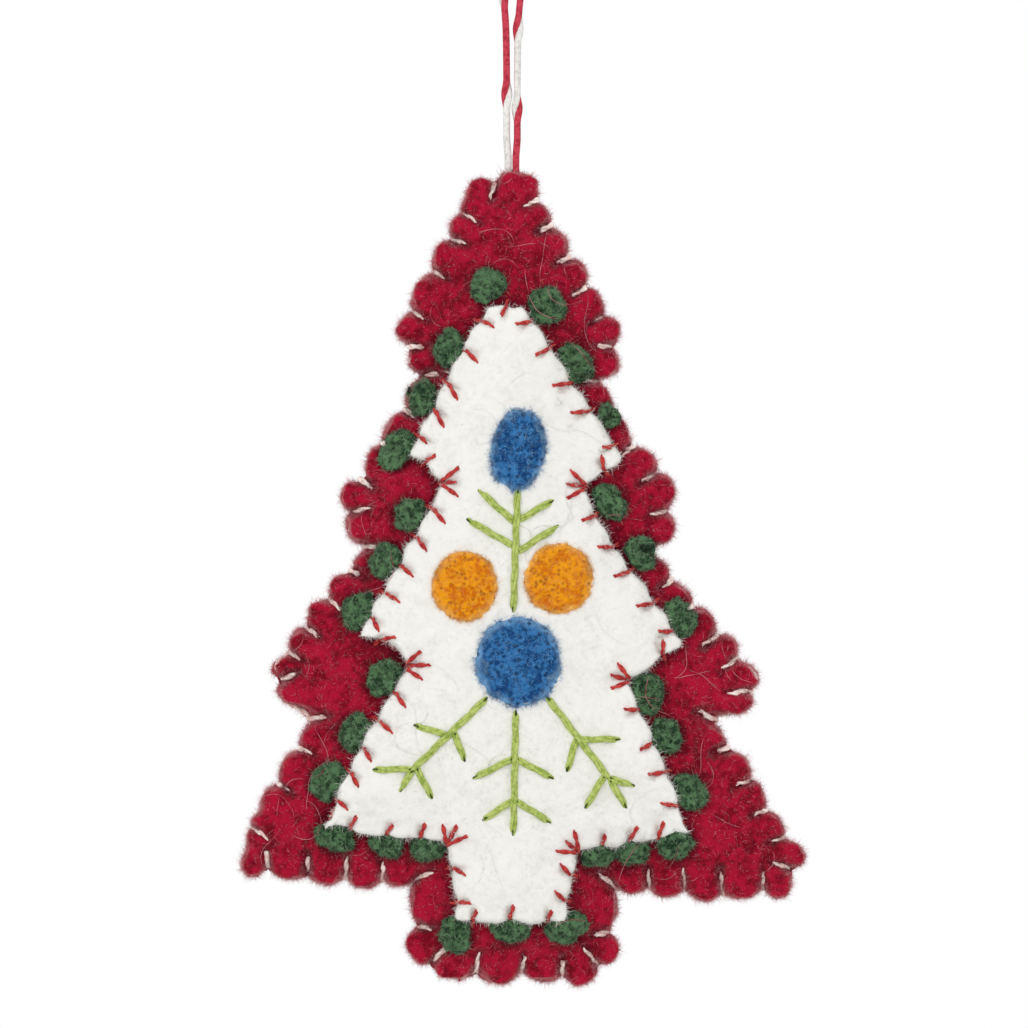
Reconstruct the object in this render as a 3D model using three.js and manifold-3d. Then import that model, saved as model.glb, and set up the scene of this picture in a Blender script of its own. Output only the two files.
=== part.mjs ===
// A stuffed felt tree on a twine loop.
// Millimetres, +Z up. The decorated front faces -Y, and the origin is where a hook holds the loop.
import * as THREE from "three";
import { mergeVertices } from "three/addons/utils/BufferGeometryUtils.js";
import Module from "manifold-3d";

const wasm = await Module();
wasm.setup();

const fitGap = 0.3; // between pieces that touch on the real thing
const layGap = 0.45; // under a piece that is laid on a curved felt face
const weldDistance = 1e-4; // points closer than this are one point

// Hanging loop
const cordDiameter = 1.4;
const cordSides = 8;
const loopBendRadius = 3;
const loopDrop = 42; // from the hook to the top of the felt
const throatRadius = 1.5;
const throatLift = 2.1; // from the top of the felt to the throat's centre
const knotRadius = 1.7;
const knotDepth = 13; // below the top of the felt
const knotSides = 10;
const knotRings = 6;

// How the two strands close below the bend: share of the bend's spread, share of the drop
const strandClosing = [
  [0.95, 0.12],
  [0.67, 0.21],
  [0.3, 0.32],
  [0.07, 0.45],
  [0, 0.64],
];

// Main sizes of the tree, which every flat place below follows
const treeWidth = 86.3; // of the seam, between its outermost corners
const treeHeight = 126;

// Red felt
const feltThickness = 2.6;
const seamThickness = 1.7; // felt squeezed by the edge thread
const crownRise = 3.8; // how far the stuffing lifts each panel
const crownReach = 16; // from the seam to the full crown
const lobeBulge = 0.95; // how far the felt swells out between stitches
const notchFullness = 0.45; // of a lobe beside an inward corner, against the others
const lobeRise = 0.7;
const lipLift = 1; // how far a lobe's lip opens away from the seam
const lobeSteps = 3;
const meshPitch = 6;
const meshMargin = 2.6;
const stuffingRim = 0.8; // half of the stuffing's thickness at its rim

// Corners of the seam, as x and the depth below the top of the felt, down the left side and up the right
const redCorners = [
  [-5.4, 1.9],
  [-17, 25.2],
  [-16, 30.6],
  [-13.9, 32.6],
  [-25.7, 51],
  [-25, 57.4],
  [-23.2, 59.8],
  [-37.2, 79],
  [-35.6, 84],
  [-31.7, 87.2],
  [-41, 104.6],
  [-41.4, 110.9],
  [-15, 112.6],
  [-14.8, 122.8],
  [-8.8, 127],
  [10.8, 127.9],
  [15.4, 123.8],
  [15.8, 113.4],
  [42.6, 113.9],
  [44.9, 108.8],
  [31.9, 87.2],
  [36.8, 85.2],
  [37.6, 80.5],
  [22.4, 60.6],
  [25.2, 58],
  [24.3, 50.8],
  [12.6, 33.6],
  [16, 31.4],
  [15.8, 25.4],
  [2.9, 1.9],
];

// White felt tree
const whiteThickness = 2.4;
const whiteEdgeThickness = 1.7;
const whiteBulge = 0.35;
const whiteLobeSteps = 2;
const whiteCorners = [
  [-3.8, 21.9],
  [-15.9, 45.3],
  [-10.4, 49.7],
  [-23.6, 73.8],
  [-16.2, 78.7],
  [-30.4, 104.5],
  [-9.9, 106.2],
  [-8.7, 118.9],
  [8.3, 118.9],
  [9.8, 107.6],
  [28.1, 105.3],
  [17.8, 80.8],
  [26.4, 75.3],
  [10.9, 50.3],
  [17, 46],
  [1.4, 21.9],
];

// Sewing threads
const edgeThreadSides = 4;
const sewingThreadSides = 3;
const threadNest = 0.12; // how much deeper a run lies than the loop that crosses it
const edgeThreadDiameter = 0.8;
const edgePitch = 5.9;
const edgeLeg = 2.9;
const notchLift = 1.5; // of the edge thread in an inward corner, against elsewhere
const sewingThreadDiameter = 0.6;
const sewingPitch = 5.4;
const sewingLeg = 2.8;
const cornerClear = 0.5; // from an outward corner to the nearest stitch, as a share of the pitch
const sharpClear = 0.9; // the same at a sharp point
const sharpTurn = -0.1; // cosine of the turn beyond which a corner is sharp

// Green felt balls, as x and depth of their centres
const padRings = 5;
const ballSides = 8;
const ballRadius = 2.9;
const ballHeight = 1.6; // half of a ball's flattened thickness
const ballOverhang = 0.4; // how far a ball may reach past the seam
const ballPlaces = [
  [-3.6, 18.8],
  [5.1, 22.1],
  [-9.7, 27.7],
  [-13.6, 36.6],
  [-18.3, 44.4],
  [-15.8, 54.7],
  [-20.2, 62.2],
  [-24.6, 70.1],
  [-21, 80],
  [-25.9, 88.7],
  [-30, 96.5],
  [-28, 107.4],
  [-20, 108.2],
  [-12.9, 108.9],
  [-8.8, 121],
  [-0.2, 121.9],
  [8.9, 121],
  [13.2, 109.6],
  [19.2, 109.2],
  [26.2, 108.9],
  [28.6, 98.6],
  [24.8, 89.7],
  [22.3, 82.6],
  [26.7, 71.2],
  [19.2, 60.7],
  [15, 52.8],
  [14.9, 40],
  [10.3, 29.9],
];

// Dots on the white tree: x, depth, half width, half length, lean in degrees
const dotSides = 14;
const dotHeight = 1.3; // half of a dot's thickness
const blueOval = [1.1, 44.1, 4.45, 6.4, 9];
const orangeLeft = [-7.7, 65.9, 4.9, 4.9, 0];
const orangeRight = [7.6, 64.7, 5.2, 5.2, 0];
const blueRound = [0.7, 77.6, 6.9, 6.9, 0];

// Embroidered sprigs: each stitch runs from x, depth to x, depth
const sprigDiameter = 1;
const sprigSides = 6;
const sprigs = {
  top: [
    [0.8, 52.1, 0.3, 69.2],
    [0.7, 56.3, -5.2, 51],
    [0.6, 60, -7, 55.6],
    [0.7, 55.9, 6.4, 52.6],
    [0.6, 60.9, 7.2, 56.6],
  ],
  left: [
    [-4.8, 84.8, -16, 95.4],
    [-10, 89.7, -15.3, 88.1],
    [-9.2, 89, -7.5, 93.6],
    [-15.6, 95, -21.8, 95.1],
    [-15.6, 95, -17.6, 98.4],
    [-15.2, 94.6, -12.7, 99.5],
  ],
  centre: [
    [0.6, 85.9, 0.2, 105.3],
    [0.4, 93.2, -6, 96.4],
    [0.4, 93.2, 6.4, 96.4],
    [0.3, 99.8, -4.5, 103],
    [0.3, 99.8, 6, 103.4],
  ],
  right: [
    [6.1, 84.4, 15.6, 96.8],
    [10.6, 90.3, 16.9, 90.3],
    [10.3, 89.9, 8.7, 95.2],
    [15.2, 96.3, 19.2, 97.6],
    [15.3, 96.4, 18, 101],
    [14.8, 95.8, 11.6, 101],
  ],
};

const feltTop = -loopDrop;
const throatZ = feltTop + throatLift;
const cordRadius = cordDiameter / 2;
const strandX = cordRadius + fitGap / 2;
const strandEnd = throatZ + throatRadius + fitGap;
const tailRise = throatLift - throatRadius - fitGap; // above the top of the felt
const bendZ = cordRadius - loopBendRadius;

const look = (color, roughness) => ({ color, roughness, metalness: 0 });
const redFelt = look(0xa81733, 0.95);
const whiteFelt = look(0xf2f1ee, 0.95);
const greenWool = look(0x35633f, 0.95);
const blueWool = look(0x2265a8, 0.95);
const orangeWool = look(0xe8960f, 0.95);
const fill = look(0xe9e4d8, 1);
const paleThread = look(0xf6d9d0, 0.85);
const redThread = look(0xbf3a3d, 0.85);
const greenThread = look(0xa3be5b, 0.8);
const twine = look(0xd98f95, 0.85);

// The loop has its own origin at the hook, and the tree at the top of its felt
const ornament = new THREE.Group();
const loop = new THREE.Group();
const tree = new THREE.Group();
tree.position.z = feltTop;
ornament.add(loop, tree);

function addPiece(parent, name, geometry, finish) {
  const mesh = new THREE.Mesh(geometry, new THREE.MeshStandardMaterial(finish));
  mesh.name = name;
  parent.add(mesh);
  return mesh;
}

// Joining and cutting

function solidFrom(geometry) {
  const bare = new THREE.BufferGeometry();
  bare.setAttribute("position", geometry.getAttribute("position"));
  bare.setIndex(geometry.index);
  const merged = mergeVertices(bare, weldDistance);
  const vertProperties = new Float32Array(merged.getAttribute("position").array);
  const triVerts = new Uint32Array(merged.index.array);
  return new wasm.Manifold(new wasm.Mesh({ numProp: 3, vertProperties, triVerts }));
}

function geometryFrom(solid) {
  const mesh = solid.getMesh();
  const geometry = new THREE.BufferGeometry();
  geometry.setAttribute("position", new THREE.BufferAttribute(mesh.vertProperties, 3));
  geometry.setIndex(new THREE.BufferAttribute(mesh.triVerts, 1));
  return geometry;
}

const joined = (geometries) => geometryFrom(
  geometries.map(solidFrom).reduce((sum, solid) => sum.add(solid)),
);

const cut = (geometry, ...cutters) => geometryFrom(
  cutters.map(solidFrom).reduce((rest, cutter) => rest.subtract(cutter), solidFrom(geometry)),
);

// A smooth route whose tube has its sections at the points themselves
class PointRoute extends THREE.CatmullRomCurve3 {
  getUtoTmapping(share) {
    return share;
  }
}

// A closed tube along points, with a round section of a few sides
function tube(points, diameter, sides) {
  const section = new THREE.Shape();
  for (let i = 0; i < sides; i++) {
    const angle = (2 * Math.PI * i) / sides;
    const corner = [Math.cos(angle) * diameter / 2, Math.sin(angle) * diameter / 2];
    if (i === 0) section.moveTo(...corner);
    else section.lineTo(...corner);
  }
  section.closePath();
  const extrudePath = new PointRoute(points);
  const steps = points.length - 1;
  return new THREE.ExtrudeGeometry(section, { steps, extrudePath, bevelEnabled: false });
}

// Flat outlines, in x and z

const drawn = new THREE.Box2().setFromPoints(redCorners.map(([x, depth]) => new THREE.Vector2(x, depth)));
const stretch = new THREE.Vector2(treeWidth, -treeHeight).divide(drawn.getSize(new THREE.Vector2()));
const flat = ([x, depth]) => new THREE.Vector2(x, depth).multiply(stretch);
const at = (list, i) => list[(i + list.length) % list.length];
const outward = (from, to) => new THREE.Vector2(to.y - from.y, from.x - to.x).normalize();

// How a closed outline turns at corner i: its outward direction, and whether it is a notch or a sharp point
function cornerAt(corners, i) {
  const before = outward(at(corners, i - 1), corners[i]);
  const after = outward(corners[i], at(corners, i + 1));
  return {
    normal: before.clone().add(after).normalize(),
    notch: before.cross(after) < 0,
    sharp: before.dot(after) < sharpTurn,
  };
}

// The outline moved inwards by a distance, or outwards by a negative one
function inset(corners, distance) {
  return corners.map((corner, i) => {
    const { normal } = cornerAt(corners, i);
    const slant = normal.dot(outward(corner, at(corners, i + 1)));
    return corner.clone().addScaledVector(normal, -distance / slant);
  });
}

function isInside(corners, point) {
  let inside = false;
  corners.forEach((a, i) => {
    const b = at(corners, i + 1);
    if (a.y > point.y !== b.y > point.y) {
      const crossing = a.x + ((point.y - a.y) / (b.y - a.y)) * (b.x - a.x);
      if (point.x < crossing) inside = !inside;
    }
  });
  return inside;
}

// Distance from a point to the outline, positive inside it
function depthInside(corners, point) {
  let least = Infinity;
  corners.forEach((a, i) => {
    const along = at(corners, i + 1).clone().sub(a);
    const share = THREE.MathUtils.clamp(point.clone().sub(a).dot(along) / along.lengthSq(), 0, 1);
    least = Math.min(least, point.distanceTo(a.clone().addScaledVector(along, share)));
  });
  return isInside(corners, point) ? least : -least;
}

// Stitches along an outline: one in every notch, none close to an outward corner
function stitchesAlong(corners, pitch) {
  const stitches = [];
  const clearOf = ({ notch, sharp }) => {
    if (notch) return 0;
    return pitch * (sharp ? sharpClear : cornerClear);
  };
  corners.forEach((corner, i) => {
    const next = at(corners, i + 1);
    const along = next.clone().sub(corner);
    const here = cornerAt(corners, i);
    const there = cornerAt(corners, (i + 1) % corners.length);
    const first = clearOf(here);
    const last = along.length() - clearOf(there);
    const gaps = Math.max(Math.round((last - first) / pitch), 0);
    let places = [];
    for (let k = 0; k <= gaps; k++) places.push(first + ((last - first) * k) / Math.max(gaps, 1));
    if (gaps === 0 && !here.notch && !there.notch) places = [along.length() / 2];
    if (there.notch) places.pop();
    places.forEach((place) => {
      const atNotch = here.notch && place === 0;
      stitches.push({
        point: corner.clone().addScaledVector(along, place / along.length()),
        normal: atNotch ? here.normal : outward(corner, next),
        edge: i,
        notch: atNotch,
      });
    });
  });
  return stitches;
}

// The outward corner that the outline passes between two neighbouring stitches, if there is one
function cornerBetween(corners, from, to) {
  const i = (from.edge + 1) % corners.length;
  if (from.edge === to.edge || (i === to.edge && to.notch)) return null;
  return { point: corners[i], normal: cornerAt(corners, i).normal };
}

// An outline that swells out between its stitches and is drawn in at each of them
function lobedOutline(corners, stitches, bulge, steps) {
  const outline = [];
  stitches.forEach((from, i) => {
    const to = at(stitches, i + 1);
    const middle = from.point.clone().lerp(to.point, 0.5);
    const corner = cornerBetween(corners, from, to);
    const fullness = from.notch || to.notch ? notchFullness : 1;
    const crest = corner
      ? corner.point.clone().addScaledVector(corner.normal, bulge * fullness)
      : middle.clone().addScaledVector(outward(from.point, to.point), bulge * fullness);
    const lobe = new THREE.QuadraticBezierCurve(from.point, crest.multiplyScalar(2).sub(middle), to.point);
    for (let k = 0; k < steps; k++) {
      const place = lobe.getPoint(k / steps);
      place.swell = Math.sin((Math.PI * k) / steps);
      outline.push(place);
    }
  });
  return outline;
}

// Delaunay triangles over points
function triangulate(points) {
  const far = 1e4;
  const outer = [[-far, -far], [far, -far], [0, far]].map(([x, y]) => new THREE.Vector2(x, y));
  const all = [...points, ...outer];
  const circled = (a, b, c) => {
    const ab = all[b].clone().sub(all[a]);
    const ac = all[c].clone().sub(all[a]);
    const twice = 2 * ab.cross(ac);
    const offset = new THREE.Vector2(
      (ac.y * ab.lengthSq() - ab.y * ac.lengthSq()) / twice,
      (ab.x * ac.lengthSq() - ac.x * ab.lengthSq()) / twice,
    );
    return { ids: [a, b, c], centre: offset.clone().add(all[a]), reach: offset.lengthSq() };
  };
  const count = points.length;
  let triangles = [circled(count, count + 1, count + 2)];
  points.forEach((point, i) => {
    const rim = new Map();
    const kept = [];
    triangles.forEach((triangle) => {
      if (triangle.centre.distanceToSquared(point) >= triangle.reach) {
        kept.push(triangle);
        return;
      }
      const [a, b, c] = triangle.ids;
      [[a, b], [b, c], [c, a]].forEach(([u, v]) => {
        if (!rim.delete(v + " " + u)) rim.set(u + " " + v, [u, v]);
      });
    });
    rim.forEach(([u, v]) => kept.push(circled(u, v, i)));
    triangles = kept;
  });
  return triangles.map((triangle) => triangle.ids).filter((ids) => ids.every((id) => id < count));
}

// Points and triangles that cover an outline: its own points, and an even lattice inside
function coverOutline(outline, corners, pitch, margin) {
  const points = [...outline];
  const rows = pitch * Math.sqrt(3) / 2;
  const box = new THREE.Box2().setFromPoints(outline);
  for (let row = Math.ceil(box.min.y / rows); row * rows < box.max.y; row++) {
    const shift = row % 2 === 0 ? 0 : pitch / 2;
    for (let x = Math.ceil((box.min.x - shift) / pitch) * pitch + shift; x < box.max.x; x += pitch) {
      const point = new THREE.Vector2(x, row * rows);
      if (depthInside(corners, point) > margin) points.push(point);
    }
  }
  const triangles = triangulate(points).filter(([a, b, c]) => {
    const middle = points[a].clone().add(points[b]).add(points[c]).divideScalar(3);
    return isInside(outline, middle);
  });
  return { points, triangles };
}

// A closed body over a covered outline, between a face towards -Y and a face towards +Y
function bodyBetween({ points, triangles }, frontY, backY) {
  const count = points.length;
  const position = [];
  points.forEach((p) => position.push(p.x, frontY(p), p.y));
  points.forEach((p) => position.push(p.x, backY(p), p.y));
  const index = [];
  const rim = new Map();
  triangles.forEach(([a, b, c]) => {
    index.push(a, b, c, count + a, count + c, count + b);
    [[a, b], [b, c], [c, a]].forEach(([u, v]) => {
      if (!rim.delete(v + " " + u)) rim.set(u + " " + v, [u, v]);
    });
  });
  rim.forEach(([u, v]) => index.push(u, count + u, count + v, u, count + v, v));
  const geometry = new THREE.BufferGeometry();
  geometry.setAttribute("position", new THREE.Float32BufferAttribute(position, 3));
  geometry.setIndex(index);
  return geometry;
}

// The height of a covered face at any point of it
function heightReader({ points, triangles }, height) {
  return (point) => {
    let best = { least: -Infinity, value: 0 };
    triangles.forEach((ids) => {
      const [a, b, c] = ids.map((id) => points[id]);
      const whole = b.clone().sub(a).cross(c.clone().sub(a));
      const towardsB = point.clone().sub(a).cross(c.clone().sub(a)) / whole;
      const towardsC = b.clone().sub(a).cross(point.clone().sub(a)) / whole;
      const least = Math.min(towardsB, towardsC, 1 - towardsB - towardsC);
      if (least <= best.least) return;
      const [ha, hb, hc] = ids.map((id) => height(points[id]));
      best = { least, value: ha + (hb - ha) * towardsB + (hc - ha) * towardsC };
    });
    return best.value;
  };
}

// Red panels
const seam = redCorners.map(flat);
const edgeStitches = stitchesAlong(seam, edgePitch);
const redCover = coverOutline(
  lobedOutline(seam, edgeStitches, lobeBulge, lobeSteps), seam, meshPitch, meshMargin,
);

const crownShare = (point) => {
  const climb = THREE.MathUtils.clamp(depthInside(seam, point) / crownReach, 0, 1);
  return 1 - (1 - climb) ** 2;
};
const redOuter = (point) => {
  if (point.swell !== undefined) return fitGap / 2 + seamThickness + lobeRise * point.swell;
  return fitGap / 2 + seamThickness + (feltThickness - seamThickness + crownRise) * crownShare(point);
};
const redInner = (point) => {
  if (point.swell !== undefined) return fitGap / 2 + lipLift * point.swell;
  return Math.max(fitGap / 2, redOuter(point) - feltThickness);
};

const channelWidth = 2 * (strandX + cordRadius + fitGap);
const channelHeight = knotDepth + throatLift;
const cordChannel = new THREE.BoxGeometry(channelWidth, cordDiameter + 2 * fitGap, channelHeight);
cordChannel.translate(0, 0, throatLift - channelHeight / 2);
const knotPocket = new THREE.SphereGeometry(knotRadius + fitGap, knotSides, knotRings);
knotPocket.translate(0, 0, -knotDepth);

const frontPanel = bodyBetween(redCover, (p) => -redOuter(p), (p) => -redInner(p));
const backPanel = bodyBetween(redCover, redInner, redOuter);
addPiece(tree, "red_front_panel", cut(frontPanel, cordChannel, knotPocket), redFelt);
addPiece(tree, "red_back_panel", cut(backPanel, cordChannel, knotPocket), redFelt);

// Stuffing, in the hollow between the panels
const stuffingY = (point) => redInner(point) - layGap;
const stuffingCover = {
  points: redCover.points,
  triangles: redCover.triangles.filter((ids) => ids.every((id) => {
    const point = redCover.points[id];
    return point.swell === undefined && stuffingY(point) > stuffingRim;
  })),
};
const stuffing = bodyBetween(stuffingCover, (p) => -stuffingY(p), stuffingY);
addPiece(tree, "wool_stuffing", cut(stuffing, cordChannel, knotPocket), fill);

// White tree, laid on the front panel
const whiteEdge = whiteCorners.map(flat);
const sewingStitches = stitchesAlong(whiteEdge, sewingPitch);
const whiteCover = coverOutline(
  lobedOutline(whiteEdge, sewingStitches, whiteBulge, whiteLobeSteps), whiteEdge, meshPitch, meshMargin,
);
const frontAt = heightReader(redCover, redOuter);
const whiteUnder = (point) => frontAt(point) + layGap;
const whiteOver = (point) => {
  const thickness = point.swell === undefined ? whiteThickness : whiteEdgeThickness;
  return whiteUnder(point) + thickness;
};
const whiteTree = bodyBetween(whiteCover, (p) => -whiteOver(p), (p) => -whiteUnder(p));
addPiece(tree, "white_tree", whiteTree, whiteFelt);
const whiteAt = heightReader(whiteCover, whiteOver);

// A flattened ball of wool that lies on a felt face
function woolPad(place, halfWidth, halfLength, halfHeight, leanDegrees, faceAt, sides) {
  const pad = new THREE.SphereGeometry(1, sides, padRings);
  pad.scale(halfWidth, halfHeight, halfLength);
  pad.rotateY(-THREE.MathUtils.degToRad(leanDegrees));
  const probe = 1; // over this distance each way the slope of the face is read
  const slope = (x, z) => {
    const step = new THREE.Vector2(x, z).multiplyScalar(probe);
    return (faceAt(place.clone().add(step)) - faceAt(place.clone().sub(step))) / (2 * probe);
  };
  const faceNormal = new THREE.Vector3(-slope(1, 0), -1, -slope(0, 1)).normalize();
  pad.applyQuaternion(new THREE.Quaternion().setFromUnitVectors(new THREE.Vector3(0, -1, 0), faceNormal));
  const seat = new THREE.Vector3(place.x, -faceAt(place), place.y);
  const centre = seat.addScaledVector(faceNormal, halfHeight + layGap);
  return pad.translate(centre.x, centre.y, centre.z);
}

// Green balls, tucked against the white tree and clear of its sewing thread
const sewingRoom = 2 * fitGap + sewingThreadDiameter;
const frontDepth = 4 * (crownRise + feltThickness); // further than anything on the front reaches
const besideWhite = new THREE.ExtrudeGeometry(
  new THREE.Shape(inset(whiteEdge, -(whiteBulge + sewingRoom))),
  { depth: frontDepth, bevelEnabled: false },
);
besideWhite.rotateX(Math.PI / 2);
const ballCentres = ballPlaces.map(flat);
const balls = ballCentres.map((centre, i) => {
  const spaces = ballCentres.filter((other, k) => k !== i).map((other) => other.distanceTo(centre) - fitGap);
  const radius = Math.min(ballRadius, depthInside(seam, centre) + ballOverhang, Math.min(...spaces) / 2);
  return { centre, radius };
});
balls.forEach(({ centre, radius }, i) => {
  const ball = woolPad(centre, radius, radius, ballHeight, 0, frontAt, ballSides);
  addPiece(tree, "green_ball_" + String(i + 1).padStart(2, "0"), cut(ball, besideWhite), greenWool);
});

// Dots on the white tree
const dots = {
  blue_oval_dot: [blueOval, blueWool],
  orange_dot_left: [orangeLeft, orangeWool],
  orange_dot_right: [orangeRight, orangeWool],
  blue_round_dot: [blueRound, blueWool],
};
Object.entries(dots).forEach(([name, [[x, depth, halfWidth, halfLength, lean], wool]]) => {
  const dot = woolPad(flat([x, depth]), halfWidth, halfLength, dotHeight, lean, whiteAt, dotSides);
  addPiece(tree, name, dot, wool);
});

// A point off a felt face, from a flat point and its height towards the front
const lifted = (point, y) => new THREE.Vector3(point.x, y, point.y);

// Edge thread: a loop over the rim at every stitch, joined by runs along the seam
const edgeLift = edgeThreadDiameter / 2 + layGap;
const rimLift = (stitch) => edgeLift * (stitch.notch ? notchLift : 1);
const frontIsFree = (point) => {
  const room = edgeThreadDiameter / 2 + fitGap;
  const clearOfWhite = depthInside(whiteEdge, point) < -(whiteBulge + sewingRoom + room);
  return clearOfWhite && balls.every(({ centre, radius }) => point.distanceTo(centre) > radius + room);
};
const edgeLegs = (stitch) => {
  const inwards = (distance) => stitch.point.clone().addScaledVector(stitch.normal, -distance);
  let frontLeg = edgeLeg;
  while (frontLeg > 0 && !frontIsFree(inwards(frontLeg))) frontLeg -= edgeThreadDiameter / 2;
  const shoulder = fitGap / 2 + seamThickness + edgeLift;
  const path = [];
  if (frontLeg > edgeThreadDiameter) {
    path.push(lifted(inwards(frontLeg), -frontAt(inwards(frontLeg)) - edgeLift));
  }
  path.push(lifted(inwards(-rimLift(stitch) / 2), -shoulder));
  path.push(lifted(inwards(-rimLift(stitch)), 0));
  path.push(lifted(inwards(-rimLift(stitch) / 2), shoulder));
  path.push(lifted(inwards(edgeLeg), frontAt(inwards(edgeLeg)) + edgeLift));
  return tube(path, edgeThreadDiameter, edgeThreadSides);
};

// The twine goes in between the panels at the top edge, the last one, so no stitch is made there
const sewn = edgeStitches.filter((stitch) => stitch.edge !== seam.length - 1);
const runStops = sewn.flatMap((stitch, i) => {
  const corner = i > 0 && cornerBetween(seam, sewn[i - 1], stitch);
  return corner ? [corner, stitch] : [stitch];
});
const runPath = runStops.map((stop) => {
  const beside = stop.point.clone().addScaledVector(stop.normal, rimLift(stop) - threadNest);
  return lifted(beside, 0);
});
const edgeRun = tube(runPath, edgeThreadDiameter, edgeThreadSides);
addPiece(tree, "edge_thread", joined([edgeRun, ...sewn.map(edgeLegs)]), paleThread);

// White tree's sewing thread: a leg over the edge at every stitch, joined by runs beside the edge
const sewingLift = sewingThreadDiameter / 2 + fitGap;
const sewingRun = ({ point, normal }) => {
  const beside = point.clone().addScaledVector(normal, sewingLift + whiteBulge);
  return lifted(beside, -frontAt(beside) - sewingThreadDiameter / 2 - layGap);
};
const sewingPieces = sewingStitches.map((from, i) => {
  const to = at(sewingStitches, i + 1);
  const corner = cornerBetween(whiteEdge, from, to);
  const inner = from.point.clone().addScaledVector(from.normal, -sewingLeg);
  const rim = from.point.clone().addScaledVector(from.normal, sewingLift / 2);
  const leg = [
    lifted(inner, -whiteAt(inner) - sewingLift),
    lifted(rim, -whiteAt(from.point) - sewingLift),
  ];
  const run = (corner ? [from, corner, to] : [from, to]).map(sewingRun);
  run.at(-1).y -= threadNest;
  return tube([...leg, ...run], sewingThreadDiameter, sewingThreadSides);
});
addPiece(tree, "sewing_thread", joined(sewingPieces), redThread);

// Sprigs, each a few straight stitches that meet
Object.entries(sprigs).forEach(([name, stitches]) => {
  const lift = sprigDiameter / 2 + layGap;
  const strands = stitches.map(([fromX, fromDepth, toX, toDepth]) => {
    const ends = [flat([fromX, fromDepth]), flat([toX, toDepth])];
    const points = [ends[0], ends[0].clone().lerp(ends[1], 0.5), ends[1]];
    return tube(points.map((p) => lifted(p, -whiteAt(p) - lift)), sprigDiameter, sprigSides);
  });
  addPiece(tree, "sprig_" + name, joined(strands), greenThread);
});

// Hanging loop
const bendPoints = [0, 0.25, 0.5, 0.75, 1].map((share) => new THREE.Vector3(
  loopBendRadius * Math.cos(Math.PI * share), 0, bendZ + loopBendRadius * Math.sin(Math.PI * share),
));
addPiece(loop, "loop_crown", tube(bendPoints, cordDiameter, cordSides), twine);
const strandRoute = [
  [loopBendRadius, bendZ - fitGap],
  ...strandClosing.map(([spread, drop]) => [strandX + spread * (loopBendRadius - strandX), -drop * loopDrop]),
  [strandX, strandEnd],
];
[["loop_strand_left", -1], ["loop_strand_right", 1]].forEach(([name, side]) => {
  const points = strandRoute.map(([x, z]) => new THREE.Vector3(side * x, 0, z));
  addPiece(loop, name, tube(points, cordDiameter, cordSides), twine);
});
const throat = new THREE.SphereGeometry(throatRadius, knotSides, knotRings);
addPiece(loop, "loop_throat", throat, twine).position.z = throatZ;

// The loop's two ends and their knot, inside the top of the tree
const knot = new THREE.SphereGeometry(knotRadius, knotSides, knotRings).translate(0, 0, -knotDepth);
const tails = [-1, 1].map((side) => tube(
  [new THREE.Vector3(side * strandX, 0, tailRise), new THREE.Vector3(side * strandX, 0, -knotDepth)],
  cordDiameter, cordSides,
));
addPiece(tree, "loop_knot", joined([knot, ...tails]), twine);

export default ornament;
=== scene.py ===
import math

import bpy
import numpy as np
from mathutils import Matrix, Vector
from mathutils.bvhtree import BVHTree


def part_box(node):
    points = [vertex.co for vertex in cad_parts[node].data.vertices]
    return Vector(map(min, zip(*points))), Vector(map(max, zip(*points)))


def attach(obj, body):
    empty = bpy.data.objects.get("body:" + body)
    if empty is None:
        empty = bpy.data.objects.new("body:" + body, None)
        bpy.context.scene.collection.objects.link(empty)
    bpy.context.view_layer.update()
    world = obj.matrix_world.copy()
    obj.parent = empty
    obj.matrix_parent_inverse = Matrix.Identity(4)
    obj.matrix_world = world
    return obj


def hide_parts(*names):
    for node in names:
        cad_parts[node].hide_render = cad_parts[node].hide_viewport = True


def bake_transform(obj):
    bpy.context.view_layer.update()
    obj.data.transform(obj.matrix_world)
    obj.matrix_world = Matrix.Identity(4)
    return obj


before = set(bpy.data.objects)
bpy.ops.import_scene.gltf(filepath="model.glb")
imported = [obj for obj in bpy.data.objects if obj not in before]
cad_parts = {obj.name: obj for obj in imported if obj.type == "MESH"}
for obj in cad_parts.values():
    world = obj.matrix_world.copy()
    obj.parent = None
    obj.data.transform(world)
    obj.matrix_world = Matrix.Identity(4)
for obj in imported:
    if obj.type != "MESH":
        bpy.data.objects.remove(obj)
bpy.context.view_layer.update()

scene = bpy.context.scene
mm = 0.001
print("frame loaded:", len(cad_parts), "solids")


# Camera, straight on as the photograph is

cameraView = {"centre": (0.32, -96.7), "distance": 1.5, "lens": 330.4, "sensor": 36, "near": 0.05}

bpy.ops.object.select_all(action="DESELECT")
viewX, viewZ = cameraView["centre"]
bpy.ops.object.camera_add(location=(viewX * mm, -cameraView["distance"], viewZ * mm),
                          rotation=(math.pi / 2, 0, 0))
camera = bpy.context.object
camera.name = "photoCamera"
camera.data.lens = cameraView["lens"]
camera.data.sensor_width = cameraView["sensor"]
camera.data.clip_start = cameraView["near"]
scene.camera = camera
scene.view_settings.view_transform = "Standard"
print("camera set")


# Shader maths: one socket that takes plain sums

def bothWays(operation):
    # the sum with this socket first, and with it second
    return (lambda wire, other: wire.maths(operation, wire, other),
            lambda wire, other: wire.maths(operation, other, wire))


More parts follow.
